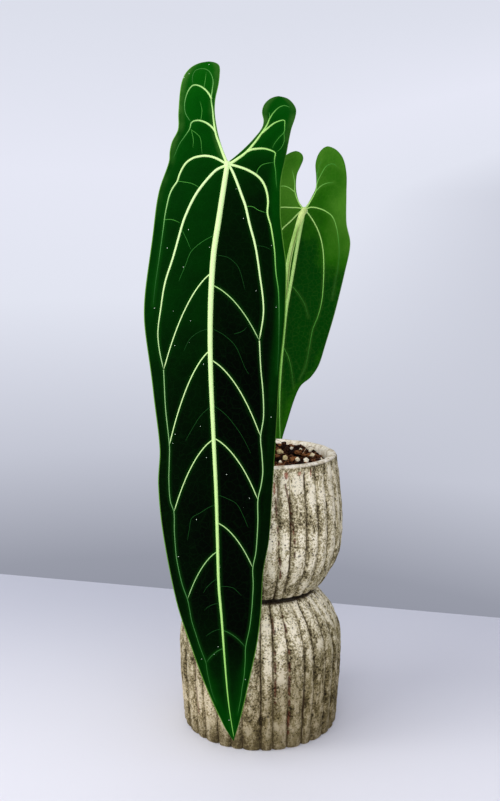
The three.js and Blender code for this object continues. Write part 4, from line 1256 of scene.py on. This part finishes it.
# Petiole skin, grown: smooth green with fine pale streaks, brown in its channel, yellow at its knee
def petioleSkin():
    material, add, place, channel, swelling = startMaterial("petioleSkin", "channel", "swelling")
    long = add("Mapping", {"Vector": place, "Scale": (1, 1, 0.06)})
    streak = add("TexNoise", {"Vector": long, "Scale": perMetre(1.4), "Detail": 4, "Roughness": 0.6})
    skin = add("ValToRGB", [streak], stops=[(0.3, "#80AC4C"), (0.5, "#ACD66E"), (0.72, "#D2EE9E")])
    # browner in the channel
    channelBrown = add("MapRange", [channel, 0.4, 1, 0, 0.8])
    channelled = add("MixRGB", [channelBrown, skin, "#5B5A26"])
    knee = add("Math", [swelling, 0.7], operation="MULTIPLY")
    colour = add("MixRGB", [knee, channelled, "#E6F49E"])
    bump = add("Bump", {"Strength": 0.3, "Distance": 0.3 * mm, "Height": streak})
    return endMaterial(material, colour, bump, 0.2, 0.45)


def frontTone(fromMidrib, z, fromRim):  # 0 is black-green, 1 the lobes' light green; partly the leaf's own green, with painted shade on the right half and painted sheen along the margin
    byHeight = along([
        (24, 0.38), (60, 0.28), (120, 0.08), (200, 0.04), (280, 0.14), (340, 0.28), (400, 0.34),
        (450, 0.43), (490, 0.6), (528, 0.86),
    ], z)
    strip = 1 - smoothStep(fromRim, 5, 12)
    right = smoothStep(fromMidrib, -1, 2)
    # painted shade on the right half
    shadedRight = right * (1 - strip) * smoothStep(z, 60, 160) * (1 - smoothStep(z, 425, 470))
    # painted sheen along the margin strip
    marginSheen = 0.13 - (0.06 - 0.06 * right) * smoothStep(z, 110, 180)
    return byHeight - 0.2 * shadedRight + marginSheen * strip * (1 - smoothStep(z, 440, 480))


def backTone(fromMidrib, z, fromRim):  # the same, for the back leaf, with painted light on the left half, and lighter on the right flank up high
    byHeight = along([
        (208, 0.2), (260, 0.12), (300, 0), (360, -0.02), (395, 0.1), (430, 0.34), (475, 0.6),
    ], z)
    flank = smoothStep(fromMidrib, 12, 30) * smoothStep(z, 365, 395) * (1 - smoothStep(z, 425, 450))
    lobe = 0.1 * smoothStep(z, 365, 395) - 0.3 * smoothStep(z, 436, 462)
    # painted light on the left half
    left = 0.24 * smoothStep(-fromMidrib, 0, 6) + (fromMidrib < 0) * lobe
    return byHeight + 0.1 * (1 - smoothStep(fromRim, 1, 8)) + left + 0.4 * flank


laterals = [lateralVein(frontLeaf, *row) for row in frontLaterals]
frontMain = list(frontVeins.values()) + laterals
backMain = [backMidrib, *backVeins.values()]
backMain += [mirrored(backLeaf, backVeins[name]) for name in ("upperLateral", "lowerLateral")]
faint = [faintVein(path) for path in frontFaintVeins]
velvet, margin = velvetSkin(), marginHighlightSkin()
frontUnder = waxySkin("waxyUnderSkinFront", "#1E4A12", "#3E6E22", "#6C9440", 0.1)
backUnder = waxySkin("waxyUnderSkinBack", "#003A00", "#205E02", "#427A1C", 0.0)
# The knot that joins each net to its petiole: centre, size, how pale, seed
frontKnot = ((-25, -54.4, 451.2), (3.0, 1.6, 3.2), 0.98, 3)
backKnot = ((36, 29.8, 424), (2.9, 2.2, 3.0), 0.95, 4)
makeBlade("frontBlade", frontLeaf, frontMain, faint, frontTone, [velvet, frontUnder, margin],
          ["front_blade"])
makeVeins("frontVeinNet", frontLeaf, frontMain, faint, frontKnot, veinSkin("frontVeinSkin"),
          ["front_petiole_veins"])
print("front leaf made")
makeBlade("backBlade", backLeaf, backMain, [], backTone, [backUnder, velvet, margin],
          ["back_blade"])
makeVeins("backVeinNet", backLeaf, backMain, [], backKnot, veinSkin("backVeinSkin"),
          ["back_petiole_veins"])
petiole = petioleSkin()
makePetiole("frontPetiole", frontLeaf, petiole)
makePetiole("backPetiole", backLeaf, petiole)
print("back leaf and petioles made")


# Floor and light

studio = {
    "farEdge": ((-300, 361), (255, 221)),  # two points of the floor's far edge
    "reach": 3000,
    "thickness": 12,
    "floorNearLit": "#E4E4EB",
    "floorFarShaded": "#C4C6D1",
    # The wall's tone by the height of the look, as (sine of the rise, colour); the dark low stops are
    # painted shade towards the floor
    "wall": [(-0.36, "#8E919E"), (-0.3, "#989BA8"), (-0.19, "#C3C6D3"), (-0.03, "#E2E5F1"),
             (0.1, "#E6E8F5"), (0.25, "#DCDFEB"), (0.5, "#DADCE8")],
    "wallSlope": 0.75,  # how much sooner the painted shade darkens the wall to the right
    "wallLight": 0.75,  # how strongly the wall lights the object, next to its own tone
    "lights": [
        # name, place, side in mm, watts, colour
        ("windowLight", (-1430, -680, 1250), 1400, 20, "#FFFDF8"),
        ("frontFill", (80, -1480, 980), 1400, 12.5, "#FCFBFC"),
        ("topLight", (-100, 300, 1700), 1200, 2.2, "#FFFFFF"),
    ],
    "aim": (0, 0, 240),
}


# Painted board, rolled: quite matt, with a painted falloff of light, paler near the camera and darker away
# from it
def paintedBoard():
    material, add, place = startMaterial("paintedBoard")
    away = add("SeparateXYZ", [place]).outputs["Y"]
    # painted falloff of light, darker away from the camera
    share = add("MapRange", [away, -0.12, 0.36], **soft)
    colour = add("MixRGB", [share, studio["floorNearLit"], studio["floorFarShaded"]])
    return endMaterial(material, colour, None, 0.1, 0.9)


def makeFloor(material):
    left, right = [np.array(point, float) for point in studio["farEdge"]]
    ahead = (right - left) / np.linalg.norm(right - left) * studio["reach"]
    towards = np.array([ahead[1], -ahead[0]])  # from the far edge to the camera
    top = [left - ahead, right + ahead, right + ahead + towards, left - ahead + towards]
    points = np.array([(x, y, z) for z in (0, -studio["thickness"]) for x, y in top])
    sides = [(i, i + 4, (i + 1) % 4 + 4, (i + 1) % 4) for i in range(4)]
    slab = {"points": points, "faces": [(3, 2, 1, 0), (4, 5, 6, 7)] + sides}
    makeObject("paleFloor", [slab], [material], smooth=False)


def makeWall():  # the pale wall is only a tone far away, so no view is shut off; its tone carries painted shade low down and to the right
    world = bpy.data.worlds.new("paleWall")
    world.use_nodes = True
    world.node_tree.nodes.clear()
    add = partial(addNode, world.node_tree)
    look = add("TexCoord").outputs["Generated"]
    rightwards, _, rise = add("SeparateXYZ", [look]).outputs
    slope = add("MapRange", [rise, -0.22, 0.07, -0.15, studio["wallSlope"]])
    level = add("MapRange", [rise, 0.08, 0.24, 1, 0.1])
    # painted shade: the wall darkens sooner to the right
    shadeDip = add("Math", [rightwards, 0], operation="MAXIMUM")
    for factor in (slope, level):
        shadeDip = add("Math", [shadeDip, factor], operation="MULTIPLY")
    shadedRise = add("Math", [rise, shadeDip], operation="SUBTRACT")
    share = add("MapRange", [shadedRise, -0.5, 0.5])
    tone = add("ValToRGB", [share], stops=[(at + 0.5, colour) for at, colour in studio["wall"]])
    seen = add("LightPath").outputs["Is Camera Ray"]
    strength = add("MapRange", [seen, 0, 1, studio["wallLight"], 1])
    add("OutputWorld", [add("Background", [tone, strength])])
    bpy.context.scene.world = world


def makeLights():
    for name, place, side, watts, colour in studio["lights"]:
        light = bpy.data.lights.new(name, "AREA")
        light.size, light.energy = side * mm, watts
        light.color = linear(colour)[:3]
        lamp = bpy.data.objects.new(name, light)
        lamp.location = Vector(place) * mm
        lamp.rotation_euler = (Vector(studio["aim"]) - Vector(place)).to_track_quat("-Z", "Y").to_euler()
        bpy.context.scene.collection.objects.link(lamp)


makeFloor(paintedBoard())
makeWall()
makeLights()
bpy.context.scene.view_settings.view_transform = "Standard"
print("studio made")

bpy.context.view_layer.update()
